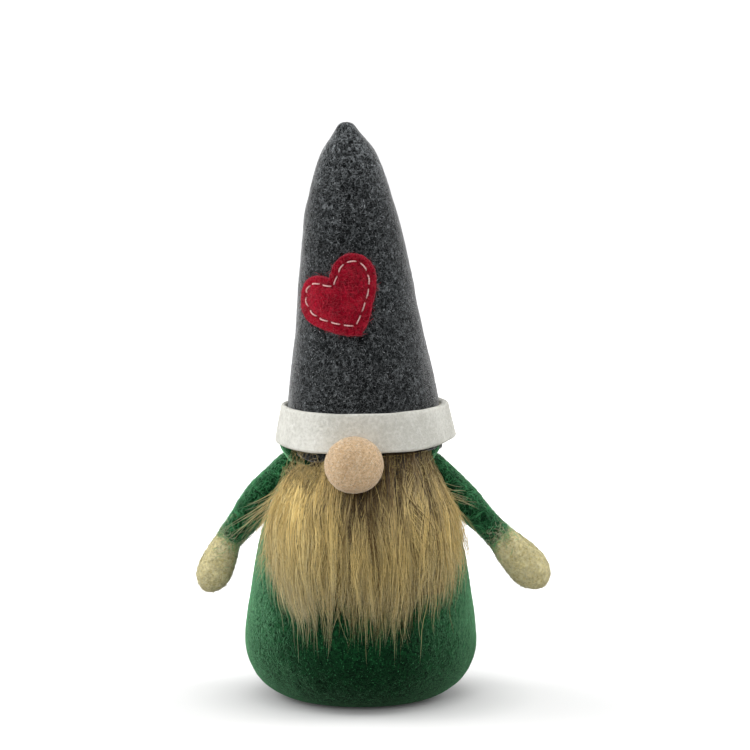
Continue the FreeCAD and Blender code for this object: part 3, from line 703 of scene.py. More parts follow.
def make_hat():
    profile = along_profile(hat_profile(), 236)
    radius, height = profile[:, 0], profile[:, 1]
    half = HAT_WALL / 2
    turn = np.linspace(0, math.pi, 9)[1:]
    hem_radius = radius[-1] - half + half * np.cos(turn)
    hem_height = height[-1] + half - half * np.sin(turn)
    outer = height > height[-1] + half
    inner_height = np.linspace(height[-1] + half * 1.6, 190 * MM, 36)
    inner_radius = np.maximum(np.interp(inner_height, height[::-1], radius[::-1]) - HAT_WALL, 1.5 * MM)
    radius = np.concatenate([radius[outer], hem_radius, inner_radius])
    height = np.concatenate([height[outer], hem_height, inner_height])
    azimuth = full_turn(330)
    tilt = -0.95 * MM * np.sin(azimuth)[None] * ease((130 * MM - height) / (40 * MM))[:, None]
    turned = (azimuth + math.pi) % (2 * math.pi) - math.pi
    dip = np.exp(-((turned + 0.74) / 0.48) ** 2) * HEM_DIP_FRONT
    dip = np.maximum(dip, HEM_DIP_BACK * ease((np.abs(turned) - 1.1) / 0.6))
    tilt = tilt - dip[None] * ease((94 * MM - height) / (6 * MM))[:, None]
    points = axis_point(height[:, None] + tilt) + hat_outward(azimuth)[None] * radius[:, None, None]
    outside = np.arange(len(radius))[:, None] < outer.sum() + 4
    relief = felt_relief(points, 31, 0.34 * MM, 0.08 * MM)
    crease = Field(35).at(points * np.array([1, 1, 0.5]), 21 * MM) * 0.25 * MM
    fade = ease((height - 86.5 * MM) / (5 * MM))[:, None] * 0.8 + 0.2
    points = points + hat_outward(azimuth)[None] * np.where(outside, (relief + crease) * fade, 0)[..., None]
    hat = ring_object("hat_felt", points, GREY_FELT)
    stand_in(hat, "hat_cone", "root")
    return hat


def hat_surface(azimuth, height, above):
    """Points standing off the hat, found level with each height along its azimuth."""
    azimuth, height, above = np.broadcast_arrays(azimuth, height, above)
    level = at_azimuth(azimuth, 1.0, 0.0)
    middle = axis_point(height)
    return middle + level * (cast(trees["hat_cone"], middle, level) + above)[..., None]


# ---- band -------------------------------------------------------------------------------------
def make_band():
    columns = 560
    half_slit = 0.15 * MM / 29 / MM
    azimuth = np.linspace(math.pi + half_slit, 3 * math.pi - half_slit, columns)
    corner = 0.95 * MM
    slope = math.atan2(BAND_BOTTOM_RADIUS - BAND_TOP_RADIUS, BAND_TOP - BAND_BOTTOM)
    width = (BAND_TOP - BAND_BOTTOM) / math.cos(slope)
    loop = band_loop(width, BAND_WALL, corner)
    u, w = loop[:, 0], loop[:, 1]
    middle_radius = (BAND_TOP_RADIUS + BAND_BOTTOM_RADIUS) / 2
    middle_height = (BAND_TOP + BAND_BOTTOM) / 2
    radius = middle_radius - u * math.sin(slope) + w * math.cos(slope)
    height = middle_height + u * math.cos(slope) + w * math.sin(slope)
    around = at_azimuth(azimuth, 1.0, 0.0)
    ring = around * middle_radius
    wave = Field(41).at(ring, 26 * MM)
    flare = Field(42).at(ring, 34 * MM)
    reach = radius[None] + (flare * 0.45 * MM)[:, None] * np.clip(0.5 - u / width, 0, 1)[None]
    level = height[None] + (wave * 0.35 * MM)[:, None] * (u / width)[None] * 2
    level = level + (Field(43).at(ring, 9 * MM) * 0.3 * MM)[:, None] * (u / width)[None]
    beside = ease((np.abs((azimuth + math.pi) % (2 * math.pi) - math.pi) - 0.55) / 0.9)
    level = level + (beside * 1.5 * MM)[:, None] * np.clip(0.5 - u / width, 0, 1)[None]
    points = around[:, None] * reach[..., None]
    points[..., 2] = level
    points[..., 2] += points[..., 0] * math.sin(BAND_TILT)
    points[..., 0] += BAND_CENTRE_X
    outward = around[:, None] * np.sign(np.round(w + BAND_WALL / 2, 9))[None, :, None]
    relief = felt_relief(points, 44, 0.34 * MM, 0.06 * MM)
    points = points + outward * relief[..., None]
    band = ring_object("band_felt", points, WHITE_FELT)
    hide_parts("hat_band")
    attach(band, "root")
    return band


def band_loop(width, thick, corner):
    """Rounded rectangle as (along the slope, outward), going round once, outer face first."""
    near, far = width / 2 - corner, thick - corner
    centres = np.array([(near, -corner), (near, -far), (-near, -far), (-near, -corner)])
    points = []
    for k, count in enumerate((34, 3, 14, 3)):
        off = corner * np.array([math.sin(math.pi / 2 * k), math.cos(math.pi / 2 * k)])
        points.append(np.linspace(centres[k - 1] + off, centres[k] + off, count))
        turn = math.pi / 2 * (k + np.arange(1, 6) / 6)
        points.append(centres[k] + corner * np.stack([np.sin(turn), np.cos(turn)], 1))
    return np.concatenate(points)


# ---- heart ------------------------------------------------------------------------------------
def spline(points, count):
    """Natural cubic spline through the points, at even steps along it."""
    points = np.asarray(points, float)
    knots = travelled(points)
    gap = np.diff(knots)
    n = len(points)
    system = np.eye(n)
    right = np.zeros((n, points.shape[1]))
    for i in range(1, n - 1):
        system[i, i - 1:i + 2] = gap[i - 1], 2 * (gap[i - 1] + gap[i]), gap[i]
        right[i] = 6 * ((points[i + 1] - points[i]) / gap[i] - (points[i] - points[i - 1]) / gap[i - 1])
    bend = np.linalg.solve(system, right)
    at = np.linspace(0, knots[-1], 1200)
    i = np.clip(np.searchsorted(knots, at, side="right") - 1, 0, n - 2)
    a, b, h = (knots[i + 1] - at)[:, None], (at - knots[i])[:, None], gap[i][:, None]
    curve = (bend[i] * a ** 3 + bend[i + 1] * b ** 3) / (6 * h)
    curve += (points[i] / h - bend[i] * h / 6) * a + (points[i + 1] / h - bend[i + 1] * h / 6) * b
    return along_profile(curve, count)


def rough_hat_radius(height):
    return np.interp(height, [100 * MM, 127 * MM, 148 * MM, 165 * MM, 181 * MM],
                     [26.3 * MM, 22.4 * MM, 19.3 * MM, 16.6 * MM, 12.6 * MM])


def heart_place(flat):
    """Azimuth and height on the hat of points of the flat heart, given across and up in metres."""
    across, up = flat[..., 0], flat[..., 1]
    arc = across * math.cos(HEART_TURN) - up * math.sin(HEART_TURN)
    height = HEART_NOTCH_HEIGHT + across * math.sin(HEART_TURN) + up * math.cos(HEART_TURN)
    notch_radius = rough_hat_radius(HEART_NOTCH_HEIGHT) + HEART_THICKNESS
    return (HEART_NOTCH_AZIMUTH * notch_radius + arc) / (rough_hat_radius(height) + HEART_THICKNESS), height


def both_sides(half, count, left_share=1.0):
    """Closed outline, clockwise from the notch, of a shape given by its right half."""
    right = spline(np.array(half) * MM, count)
    left = right[::-1] * np.array([-left_share, 1])
    return np.concatenate([right[:-1], left[:-1]])


def make_heart():
    edge = both_sides(HEART_HALF, 141, 1.07)
    seam = both_sides(STITCH_HALF, 141)
    centre = np.array([0.0, -7.5 * MM])
    shares = np.concatenate([np.linspace(0.02, 0.9, 46), np.linspace(0.915, 1.0, 12)])
    flat = centre + (edge - centre)[None] * shares[:, None, None]
    inward = np.linalg.norm(flat - edge[None], axis=-1)
    gap = np.min(np.linalg.norm(flat[:, :, None] - seam[None, None], axis=-1), axis=-1)
    crown = np.sqrt(np.clip(1 - (1 - np.clip(inward / (1.0 * MM), 0, 1)) ** 2, 0, 1))
    above = HEART_THICKNESS * crown * (1 + 0.10 * ease((gap - 1.2 * MM) / (2.5 * MM)))
    above -= 0.6 * MM * np.exp(-(gap / (0.55 * MM)) ** 2)
    lumps = Field(51).at(np.concatenate([flat, flat[..., :1] * 0], -1), 5 * MM) * 0.12 * MM * crown
    azimuth, height = heart_place(flat)
    front = hat_surface(azimuth, height, above + lumps)
    back_shares = np.linspace(0.985, 0.03, 10)
    back_flat = centre + (edge - centre)[None] * back_shares[:, None, None]
    back = hat_surface(*heart_place(back_flat), np.full(back_flat.shape[:2], -0.5 * MM))
    rings = np.concatenate([front, back])
    rings = rings + unit(rings - axis_point(rings[..., 2])) * (
        felt_relief(rings, 53, 0.04 * MM, 0.05 * MM) * (np.arange(len(rings)) < len(front))[:, None])[..., None]
    heart = ring_object("heart_felt", rings, RED_FELT)
    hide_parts("heart_patch")

    threads = []
    for side in SIDES.values():
        line = spline(np.array(STITCH_HALF) * MM * np.array([side, 1]), 400)
        travel = travelled(line)
        pitch = travel[-1] / STITCHES_EACH_SIDE
        for i in range(STITCHES_EACH_SIDE):
            at = (i + 0.5) * pitch + np.linspace(-0.5, 0.5, 17) * STITCH_LENGTH
            spot = np.stack([np.interp(at, travel, line[:, k]) for k in range(2)], 1)
            share = np.linspace(0, 1, 17)
            rise = (0.9 + 0.8 * np.sin(math.pi * share) ** 0.45) * MM - 0.5 * MM * (share * (1 - share) < 0.02)
            core = hat_surface(*heart_place(spot), rise)
            threads += twisted(core, 0.15 * MM, 0.14 * MM, 2.3, i * 1.3)
    stitch = tube_object("heart_thread", threads, PINK_THREAD, 9)
    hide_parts("heart_stitches")
    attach(heart, "root")
    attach(stitch, "root")
    return heart


def twisted(core, ply_radius, offset, turns, phase):
    """Two plies winding round a core line, as (path, radius)."""
    forward = unit(np.gradient(core, axis=0))
    side = unit(np.cross(forward, np.array([0.3, 0.2, 1.0])))
    other = np.cross(forward, side)
    angle = phase + turns * 2 * math.pi * np.linspace(0, 1, len(core))
    swing = side * np.cos(angle)[:, None] + other * np.sin(angle)[:, None]
    return [(core + swing * offset, ply_radius), (core - swing * offset, ply_radius)]


def tube_object(name, tubes, material, sides):
    """Round closed tubes along paths, in one object."""
    points, faces, caps, first = [], [], [], 0
    turn = np.arange(sides) * 2 * math.pi / sides
    for path, radius in tubes:
        forward = unit(np.gradient(path, axis=0))
        side = unit(np.cross(forward, np.array([0.31, 0.17, 0.93])))
        other = np.cross(forward, side)
        rings = path[:, None] + radius * (side[:, None] * np.cos(turn)[None, :, None]
                                          + other[:, None] * np.sin(turn)[None, :, None])
        points += [rings.reshape(-1, 3), path[:1], path[-1:]]
        faces.append(ring_faces(len(path), sides, first))
        caps.append(fans(len(path), sides, first))
        first += len(path) * sides + 2
    return mesh_object(name, np.concatenate(points), [np.concatenate(faces), np.concatenate(caps)], material)


# ---- nose -------------------------------------------------------------------------------------
def make_nose():
    centre = NOSE_CENTRE
    theta = np.linspace(0.012, math.pi - 0.012, 150)
    azimuth = full_turn(220)
    directions = np.stack([np.sin(theta)[:, None] * np.sin(azimuth), -np.sin(theta)[:, None] * np.cos(azimuth),
                           np.repeat(np.cos(theta)[:, None], 220, 1)], -1)
    far = cast(trees["nose_ball"], np.broadcast_to(centre, directions.shape), directions, 0.03)
    points = centre + directions * far[..., None]
    points = points + directions * felt_relief(points, 61, 0.16 * MM, 0.09 * MM)[..., None]
    points[..., 2] = centre[2] + NOSE_RAISE + (points[..., 2] - centre[2]) * NOSE_FLATTEN
    nose = ring_object("nose_felt", points, BEIGE_FELT)
    stand_in(nose, "nose_ball", "root")
    return nose


# ---- arms -------------------------------------------------------------------------------------
def limb_points(tree, start, direction, travel, columns):
    """Outermost points of a limb on rings square to its line."""
    turn = full_turn(columns)
    across = np.array([0, 1.0, 0])
    other = np.cross(direction, across)
    outward = np.cos(turn)[:, None] * across + np.sin(turn)[:, None] * other
    centres = start + travel[:, None] * direction
    origins = np.repeat(centres[:, None], columns, 1)
    directions = np.repeat(outward[None], len(travel), 0)
    return origins, directions, cast(tree, origins, directions, 0.03)


def make_arm(name, side):
    sleeve_angle, hand_angle = (math.radians(a) for a in ARM_ANGLES[name])
    pivot = SHOULDER * OUTWARD[name]
    down_arm = np.array([side * math.sin(sleeve_angle), 0, -math.cos(sleeve_angle)])
    down_hand = np.array([side * math.sin(hand_angle), 0, -math.cos(hand_angle)])
    wrist = pivot + down_arm * SLEEVE_LENGTH
    sleeve_length = SLEEVE_LENGTH - WRIST_BACK[name]
    columns = 96

    ball = -SHOULDER_RADIUS * np.cos(np.linspace(0.06, math.pi / 2, 18))
    travel = np.concatenate([ball, np.arange(0.45, sleeve_length / MM - 1.0, 0.36) * MM])
    origins, directions, radius = limb_points(trees[name + "_arm_sleeve"], pivot, down_arm, travel, columns)
    side_radius, side_travel = np.array(SLEEVE_SIDE[name]).T * MM
    full = np.interp(travel, *np.array(spline(np.stack([side_travel, side_radius], 1), 60)).T)
    full = np.where(travel < 0, np.sqrt(np.clip(SHOULDER_RADIUS ** 2 - travel ** 2, 0, 1)), full)[:, None]
    sphere = np.sqrt(np.clip(SHOULDER_RADIUS ** 2 - travel ** 2, 0, 1))[:, None]
    radius = np.maximum(np.nan_to_num(radius), sphere)
    to_body = np.array([-side * math.cos(sleeve_angle), 0, -math.sin(sleeve_angle)])
    away = directions @ to_body
    radius = radius + (full - radius) * ease((0.45 - away) / 0.6)
    radius = radius + SLEEVE_BOW[name] * np.exp(-((travel[:, None] - 14 * MM) / (11 * MM)) ** 2) * ease(-away / 0.8)
    points = origins + directions * radius[..., None]
    relief = felt_relief(points, 71 + side, 0.22 * MM, 0.07 * MM)
    fade = ease((travel - 6 * MM) / (6 * MM))[:, None]
    points = points + directions * (relief * fade)[..., None]
    ragged = Field(75 + side).at(points[-1], 2.6 * MM) * 1.5 * MM
    last = directions[-1] * radius[-1][:, None]
    edge = [pivot + down_arm * (sleeve_length + (ragged + at * MM)[:, None] * 0.8) + last * share
            for share, at in ((1.0, 0.2), (0.96, 1.0), (0.88, 1.2))]
    inside = [pivot + down_arm * (sleeve_length - at * MM) + directions[-1] * (3.2 * MM) for at in (2.0, 5.0)]
    cuff_rings = edge + inside
    sleeve = ring_object(name + "_sleeve_felt", np.concatenate([points, np.array(cuff_rings)]), GREEN_FELT)
    stand_in(sleeve, name + "_arm_sleeve", name + "_arm")

    travel = np.concatenate([np.linspace(-4, 2, 18), np.linspace(2.3, 20, 52),
                             20 + 3.45 * np.sin(np.linspace(0.03, math.pi / 2, 18))]) * MM * HAND_STRETCH[name]
    origins, directions, radius = limb_points(trees[name + "_hand"], wrist, down_hand, travel, columns)
    root = np.interp(np.arange(18), [0, 12, 17], [0.68, 0.9, 0.99])[:, None]
    radius[:18] = root * np.mean(radius[18])
    flatten = 1 - 0.10 * np.abs(directions[..., 1:2]) ** 2 * ease(travel / (12 * MM))[:, None, None]
    points = origins + directions * radius[..., None] * flatten - down_arm * WRIST_BACK[name]
    relief = felt_relief(points, 81 + side, 0.30 * MM, 0.07 * MM)
    points = points + directions * (relief * ease((travel + 1 * MM) / (3 * MM))[:, None])[..., None]
    hand = ring_object(name + "_hand_felt", points, CREAM_FELT)
    stand_in(hand, name + "_hand", name + "_arm")
    return sleeve, hand, pivot, down_arm, sleeve_length


def clinging_hairs(name, side, pivot, down_arm, count, reach):
    """Stray beard hairs caught in the felt across the front of a sleeve."""
    rng = np.random.default_rng(120 + side)
    steps = 16
    share = np.linspace(0, 1, steps)[None]
    inward = np.array([-side * -down_arm[2], 0, -abs(down_arm[0])])
    travel = rng.uniform(-2, 5, (count, 1)) * (1 - share) + rng.uniform(0.45, 1, (count, 1)) * reach * share
    beside = rng.uniform(3, 7, (count, 1)) * (1 - share) + rng.uniform(-4.5, 6, (count, 1)) * share ** 1.3
    beside += rng.normal(0, 0.5, (count, 1)) * np.sin(HAIR_WAVE * rng.uniform(0.4, 1.0, (count, 1)) * share)
    depth = np.sqrt(np.maximum(5.9 ** 2 - beside ** 2, 1.0)) + rng.uniform(0.1, 1.3, (count, 1))
    path = pivot + (travel[..., None] * down_arm + beside[..., None] * inward - depth[..., None] * [0, 1, 0]) * MM
    radii = rng.uniform(0.055, 0.085, (count, 1)) * MM * np.interp(share, [0, 0.7, 1.0], [1.0, 0.85, 0.3])
    hairs = strand_object(name + "_sleeve_hairs", path, radii, rng.uniform(0.85, 1, count), BEARD_HAIR, rng, 1,
                          np.full(count, 0.7))[0]
    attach(hairs, name + "_arm")


# ---- beard ------------------------------------------------------------------------------------
FLOW_HEIGHTS = np.array([18, 32, 40, 50, 65, 86]) * MM
FLOW_SEEDS = np.array([-1.0, -0.6, -0.4, -0.25, -0.2, 0.1, 0.45, 0.75, 1.0])
# where each of these seeds runs, left to right in millimetres, at each of those heights
FLOW_ACROSS = np.array([
    [-22.5, -18.0, -13.5, -9.2, -3.0, 5.0, 15.0, 26.0, 33.0],
    [-25.5, -19.0, -14.5, -8.4, -4.0, 5.0, 15.0, 26.0, 33.5],
    [-28.5, -20.5, -15.5, -7.6, -4.6, 5.0, 16.0, 27.0, 35.0],
    [-30.0, -21.5, -16.0, -6.7, -5.4, 4.5, 16.5, 27.0, 36.0],
    [-31.5, -21.5, -14.5, -6.2, -4.8, 4.0, 15.5, 26.0, 34.5],
    [-26.0, -18.0, -11.0, -4.5, -3.5, 3.0, 13.0, 21.5, 27.5]]) * MM
TIP_SEEDS = np.array([-1.0, -0.85, -0.5, -0.3, -0.22, -0.15, 0.1, 0.4, 0.55, 0.75, 0.9, 1.0])
TIP_HEIGHTS = np.array([53, 43, 39, 40, 45, 41, 39, 40, 43, 46, 50, 55]) * MM
PARTING = -0.225
PARTING_EDGES = (-0.235, -0.215)
HAIR_WAVE = 6.28  # radians in one wave of a hair
PILE_HEIGHTS = np.array([18, 26, 32, 40, 50, 60, 70, 76, 82, 86, 88.5]) * MM
PILE_RADII = np.array([42.0, 42.0, 42.6, 44.8, 46.0, 45.0, 41.2, 37.2, 33.4, 31.4, 30.6]) * MM


def pile_radius(height, azimuth):
    """How far out the beard's outer face is, round the figure's axis."""
    forward = np.interp(height, PILE_HEIGHTS, PILE_RADII) - 7 * MM
    return 7 * MM * np.cos(azimuth) + np.sqrt(np.maximum(forward ** 2 - (7 * MM * np.sin(azimuth)) ** 2, 1e-8))


def flow_azimuth(seed, height):
    """Azimuth of the hair that starts at a seed, where it passes a height."""
    seed, height = np.broadcast_arrays(seed, height)
    rows = np.stack([np.interp(seed, FLOW_SEEDS, row) + (np.abs(seed) > 1) * (seed - np.sign(seed)) * 20 * MM
                     for row in FLOW_ACROSS], -1)
    place = np.clip(np.interp(height, FLOW_HEIGHTS, np.arange(6.0)), 0, 4.9999)
    low = place.astype(int)
    part = ease(place - low) * 0.5 + (place - low) * 0.5
    across = np.take_along_axis(rows, low[..., None], -1)[..., 0] * (1 - part)
    across += np.take_along_axis(rows, low[..., None] + 1, -1)[..., 0] * part
    front = np.interp(height, PILE_HEIGHTS, PILE_RADII)
    return np.arcsin(np.clip(across / front, -0.92, 0.92))


def hair_paths(seed, root_height, tip_height, layer, rng, steps, rise=0.2, wave=0.35):
    """Paths from root to tip for hairs with their own seed (per step), layer (per step) and heights."""
    share = np.linspace(0, 1, steps)[None]
    count = len(root_height)
    height = root_height[:, None] + (tip_height - root_height)[:, None] * share
    azimuth = flow_azimuth(seed, height)
    outer = pile_radius(height, azimuth)
    inner = bell_radius(np.maximum(height, 21 * MM)) + 1.0 * MM
    first = np.interp(root_height, np.array([78, 86, 89]) * MM, [0.0, 0.75, 0.97])[:, None]
    lift = layer * (first + (1 - first) * ease(share / rise))
    radius = inner + np.maximum(outer - inner, 0.6 * MM) * lift
    sway = rng.normal(0, 1, (count, 2, 1)) * MM * wave
    beat = rng.uniform(0.5, 1.6, (count, 2, 1))
    phase = rng.uniform(0, HAIR_WAVE, (count, 2, 1))
    push = sway * np.sin(HAIR_WAVE * beat * share[:, None] + phase) * ease(share / 0.3)[:, None]
    azimuth = azimuth + push[:, 0] / radius
    radius = np.maximum(radius + push[:, 1] * 0.6, inner - 0.5 * MM)
    return keep_off_arms(at_azimuth(azimuth, radius, height))


def keep_off_arms(path):
    """Hold hair out of the room through which the sleeves swing."""
    reach = np.hypot(path[..., 1], path[..., 2] - SHOULDER[2])
    limit = np.where(reach < 4 * MM, 18.0 * MM, 19.6 * MM + 0.885 * (reach - 4 * MM))
    path[..., 0] = np.clip(path[..., 0], -limit, limit)
    return path


def hair_line(seed):
    """Highest roots of the beard, lower on the left where the hat's hem shows."""
    return np.interp(seed, [-1, -0.5, -0.36, 1], [83.2, 83.0, 89.2, 89.2]) * MM


def meander(rng, which, share, size):
    """Slow sideways drift shared by every hair of a lock."""
    count = which.max() + 1
    beat, phase = rng.uniform(0.35, 1.1, (count, 1)), rng.uniform(0, HAIR_WAVE, (count, 1))
    drift = rng.normal(0, size, (count, 1)) * np.sin(HAIR_WAVE * beat * share + phase) * ease(share / 0.35)
    return drift[which]


def locks(rng, count, each, share):
    """Hairs gathered into tapering locks: seeds and layers at each step, heights and tones."""
    lock_seed = np.sort(rng.uniform(-1, 1, count))
    top = hair_line(lock_seed)
    lock_root = top - 16 * MM * rng.random(count) ** 1.7
    outer = rng.random(count) < 0.38
    lock_layer = 0.94 - 0.45 * (top - lock_root) / (16 * MM) + rng.normal(0, 0.1, count) + 0.14 * outer
    lock_layer = np.clip(lock_layer, 0.35, 1.12)
    lock_tip = np.interp(lock_seed, TIP_SEEDS, TIP_HEIGHTS) + rng.normal(0, 3.2, count) * MM
    lock_tip += (1 - lock_layer) * 7 * MM
    lock_tone = rng.normal(0.3, 0.36, count) + 0.4 * outer
    lock_tone += np.interp(lock_seed, [-1, -0.45, -0.15, 0.3, 0.6, 1], [0.66, 0.54, 0.14, 0.06, 0.06, 0.2])
    lock_pinch = rng.uniform(0.7, 1.0, count)
    lock_wide = rng.uniform(0.014, 0.04, count)
    which = np.repeat(np.arange(count), each)
    total = len(which)
    spread = rng.normal(0, 1, (total, 1)) * lock_wide[which, None]
    tip = lock_tip[which] + rng.normal(0, 1.8, total) * MM - (rng.random(total) < 0.09) * rng.uniform(2, 16, total) * MM
    tip += rng.exponential(8.0, total) * MM * (rng.random(total) < 0.7)
    root = np.minimum(lock_root[which] + rng.normal(0, 1.0, total) * MM, top[which] + 0.3 * MM)
    tone = np.clip(lock_tone[which] + rng.normal(0, 0.2, total), 0, 1)
    tone = np.where(rng.random(total) < 0.14, rng.uniform(0, 0.15, total), tone)
    seed = lock_seed[which, None]
    seeds = seed + spread * (1 - lock_pinch[which, None] * share ** 1.2) + meander(rng, which, share, 0.06)
    parts = (seed - PARTING) * (seeds - PARTING) < 0
    seeds = np.where(parts & (share > 0.45), np.where(seed < PARTING, *PARTING_EDGES), seeds)
    layers = lock_layer[which, None] + rng.normal(0, 0.05, (total, 1)) + meander(rng, which, share, 0.09)
    return seeds, np.clip(layers, 0.2, 1.14), root, np.clip(tip, 17 * MM, root - 12 * MM), tone


def root_shade(seed, rng):
    """Start of each hair on the root-to-tip scale: late where roots are pale, below 0 where they stay dark."""
    start = np.interp(seed, [-1, -0.5, -0.3, -0.15, 0.1, 0.45, 0.75, 1.0],
                      [0.44, 0.38, 0.04, -0.26, -0.22, -0.1, -0.04, 0.04])
    return np.clip(start + rng.normal(0, 0.07, len(seed)), -0.45, 0.5)


def make_beard():
    rng = np.random.default_rng(91)
    made = []

    steps = 13
    share = np.linspace(0, 1, steps)[None]
    seeds, layers, root, tip, tone = locks(rng, 290, 44, share)
    path = hair_paths(seeds, root, tip, layers, rng, steps, wave=0.42)
    taper = np.interp(share, [0, 0.1, 0.6, 1.0], [0.8, 1.0, 0.8, 0.2])
    radii = rng.uniform(0.06, 0.13, (len(root), 1)) * MM * taper
    made += strand_object("beard_lock", path, radii, tone, BEARD_HAIR, rng, 5, root_shade(seeds[:, 0], rng))

    count, steps = 2600, 16
    share = np.linspace(0, 1, steps)[None]
    seed = np.where(rng.random(count) < 0.55, rng.uniform(-1, 1, count),
                    np.where(rng.random(count) < 0.5, -1, 1) * rng.uniform(0.72, 1.04, count))
    fringe = np.clip((np.abs(seed) - 0.7) / 0.3, 0, 1)
    root = np.minimum(rng.uniform(72, 88, count) * MM, hair_line(seed))
    tip = np.interp(seed, TIP_SEEDS, TIP_HEIGHTS) - np.abs(rng.normal(0, 7.5, count)) * MM + 2 * MM
    tip += fringe * rng.uniform(-4, 18, count) * MM
    layers = rng.uniform(0.8, 1.16, (count, 1)) * np.ones_like(share)
    drift = rng.normal(0, 0.09, (count, 1))
    drift = drift + np.sign(seed)[:, None] * rng.exponential(0.13, (count, 1)) * fringe[:, None]
    seeds = seed[:, None] + drift * share ** 1.4
    path = hair_paths(seeds, root, np.maximum(tip, 17.5 * MM), layers, rng, steps, wave=1.0)
    taper = np.interp(share, [0, 0.1, 0.7, 1.0], [0.8, 1.0, 0.8, 0.25])
    radii = rng.uniform(0.055, 0.095, (count, 1)) * MM * taper
    made += strand_object("beard_wisp", path, radii, rng.uniform(0.35, 1, count) ** 0.8, BEARD_HAIR, rng, 2,
                          root_shade(seed, rng))
    made += side_wisps(rng)
    tangled, frizzy = 46, 1500
    made += curls("beard_tangle", rng, rng.normal(-7.5, 2.6, tangled), rng.normal(62, 3.2, tangled), (6, 14), 0.068,
                  (0.7, 1), 0.5)
    across = rng.uniform(-27, 27, frizzy)
    height = 87 - 13 * rng.random(frizzy) ** 1.4 - 4.5 * (across < -7)
    made += curls("beard_frizz", rng, across, height, (4, 11), 0.045, (0.1, 0.9), 0.12)

    core = beard_core()
    backing = beard_backing()
    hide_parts("beard_pile_top", "beard_pile_flap")
    for piece in made + [core, backing]:
        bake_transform(piece)


def side_wisps(rng):
    """Pale hairs that stand away from both sides of the beard, a few of them long enough to cross a sleeve."""
    made = []
    for label, side, count, long in (("left", -1, 320, 10), ("right", 1, 340, 12)):
        steps = 14
        share = np.linspace(0, 1, steps)[None, :, None]
        height = np.concatenate([rng.uniform(74, 83, long), rng.uniform(58, 84.5, count - long)]) * MM
        across = side * np.interp(height / MM, [58, 70, 87], [30.5, 29.5, 24]) * MM + rng.normal(0, 1.6, count) * MM
        front = np.interp(height, PILE_HEIGHTS, PILE_RADII)
        azimuth = np.arcsin(np.clip(across / front, -0.9, 0.9))
        radius = pile_radius(height, azimuth) - rng.uniform(0, 3, count) * MM
        start = at_azimuth(azimuth, radius, height)
        length = np.concatenate([rng.uniform(17, 27, long), rng.uniform(6, 16, count - long)]) * MM
        slope = np.radians(np.concatenate([rng.uniform(34, 56, long), rng.uniform(46, 84, count - long)]))
        heading = np.stack([side * np.cos(slope), rng.uniform(-0.1, 0.4, count), -np.sin(slope)], 1)
        sag = np.array([-side * 0.2, 0, -0.9]) * (length * rng.uniform(0.0, 0.3, count))[:, None]
        path = start[:, None] + unit(heading)[:, None] * length[:, None, None] * share + sag[:, None] * share ** 2
        path += (rng.normal(0, 0.5, (count, 1, 3)) * MM) * np.sin(
            HAIR_WAVE * rng.uniform(0.4, 1.2, (count, 1, 1)) * share)
        reach = np.hypot(path[..., 0], path[..., 1])
        grow = np.maximum((bell_radius(np.maximum(path[..., 2], 21 * MM)) + 2.0 * MM) / reach, 1)
        path[..., 0] *= grow
        path[..., 1] *= grow
        path = keep_off_arms(path)
        taper = np.interp(share[..., 0], [0, 0.1, 0.7, 1.0], [0.8, 1.0, 0.8, 0.25])
        radii = rng.uniform(0.04, 0.065, (count, 1)) * MM * taper
        made += strand_object(f"beard_flyaway_{label}", path, radii, rng.uniform(0.6, 1, count), BEARD_HAIR, rng, 1,
                              np.full(count, 0.35))
    return made


def curls(name, rng, across, height, lengths, thick, tones, shade):
    """Crossed and curled hairs lying on the beard, centred across and up in millimetres."""
    count, steps = len(across), 16
    share = np.linspace(0, 1, steps)[None]
    heading = rng.uniform(0, HAIR_WAVE, count)[:, None] + rng.normal(0, 3.2, (count, 1)) * (share - 0.5)
    length = rng.uniform(*lengths, count)[:, None] * MM
    across = across[:, None] * MM + np.cumsum(np.cos(heading), 1) * length / steps
    height = np.minimum(height[:, None] * MM + np.cumsum(np.sin(heading), 1) * length / steps, 88.2 * MM)
    front = np.interp(height, PILE_HEIGHTS, PILE_RADII)
    azimuth = np.arcsin(np.clip(across / front, -0.9, 0.9))
    bulge = (0.3 + 0.9 * np.sin(math.pi * share)) * MM
    radius = pile_radius(height, azimuth) + bulge * rng.uniform(0.0, 1, (count, 1))
    path = at_azimuth(azimuth, radius, height)
    radii = np.full((count, steps), thick * MM)
    return strand_object(name, keep_off_arms(path), radii, rng.uniform(*tones, count), BEARD_HAIR, rng, 1,
                         np.full(count, shade))


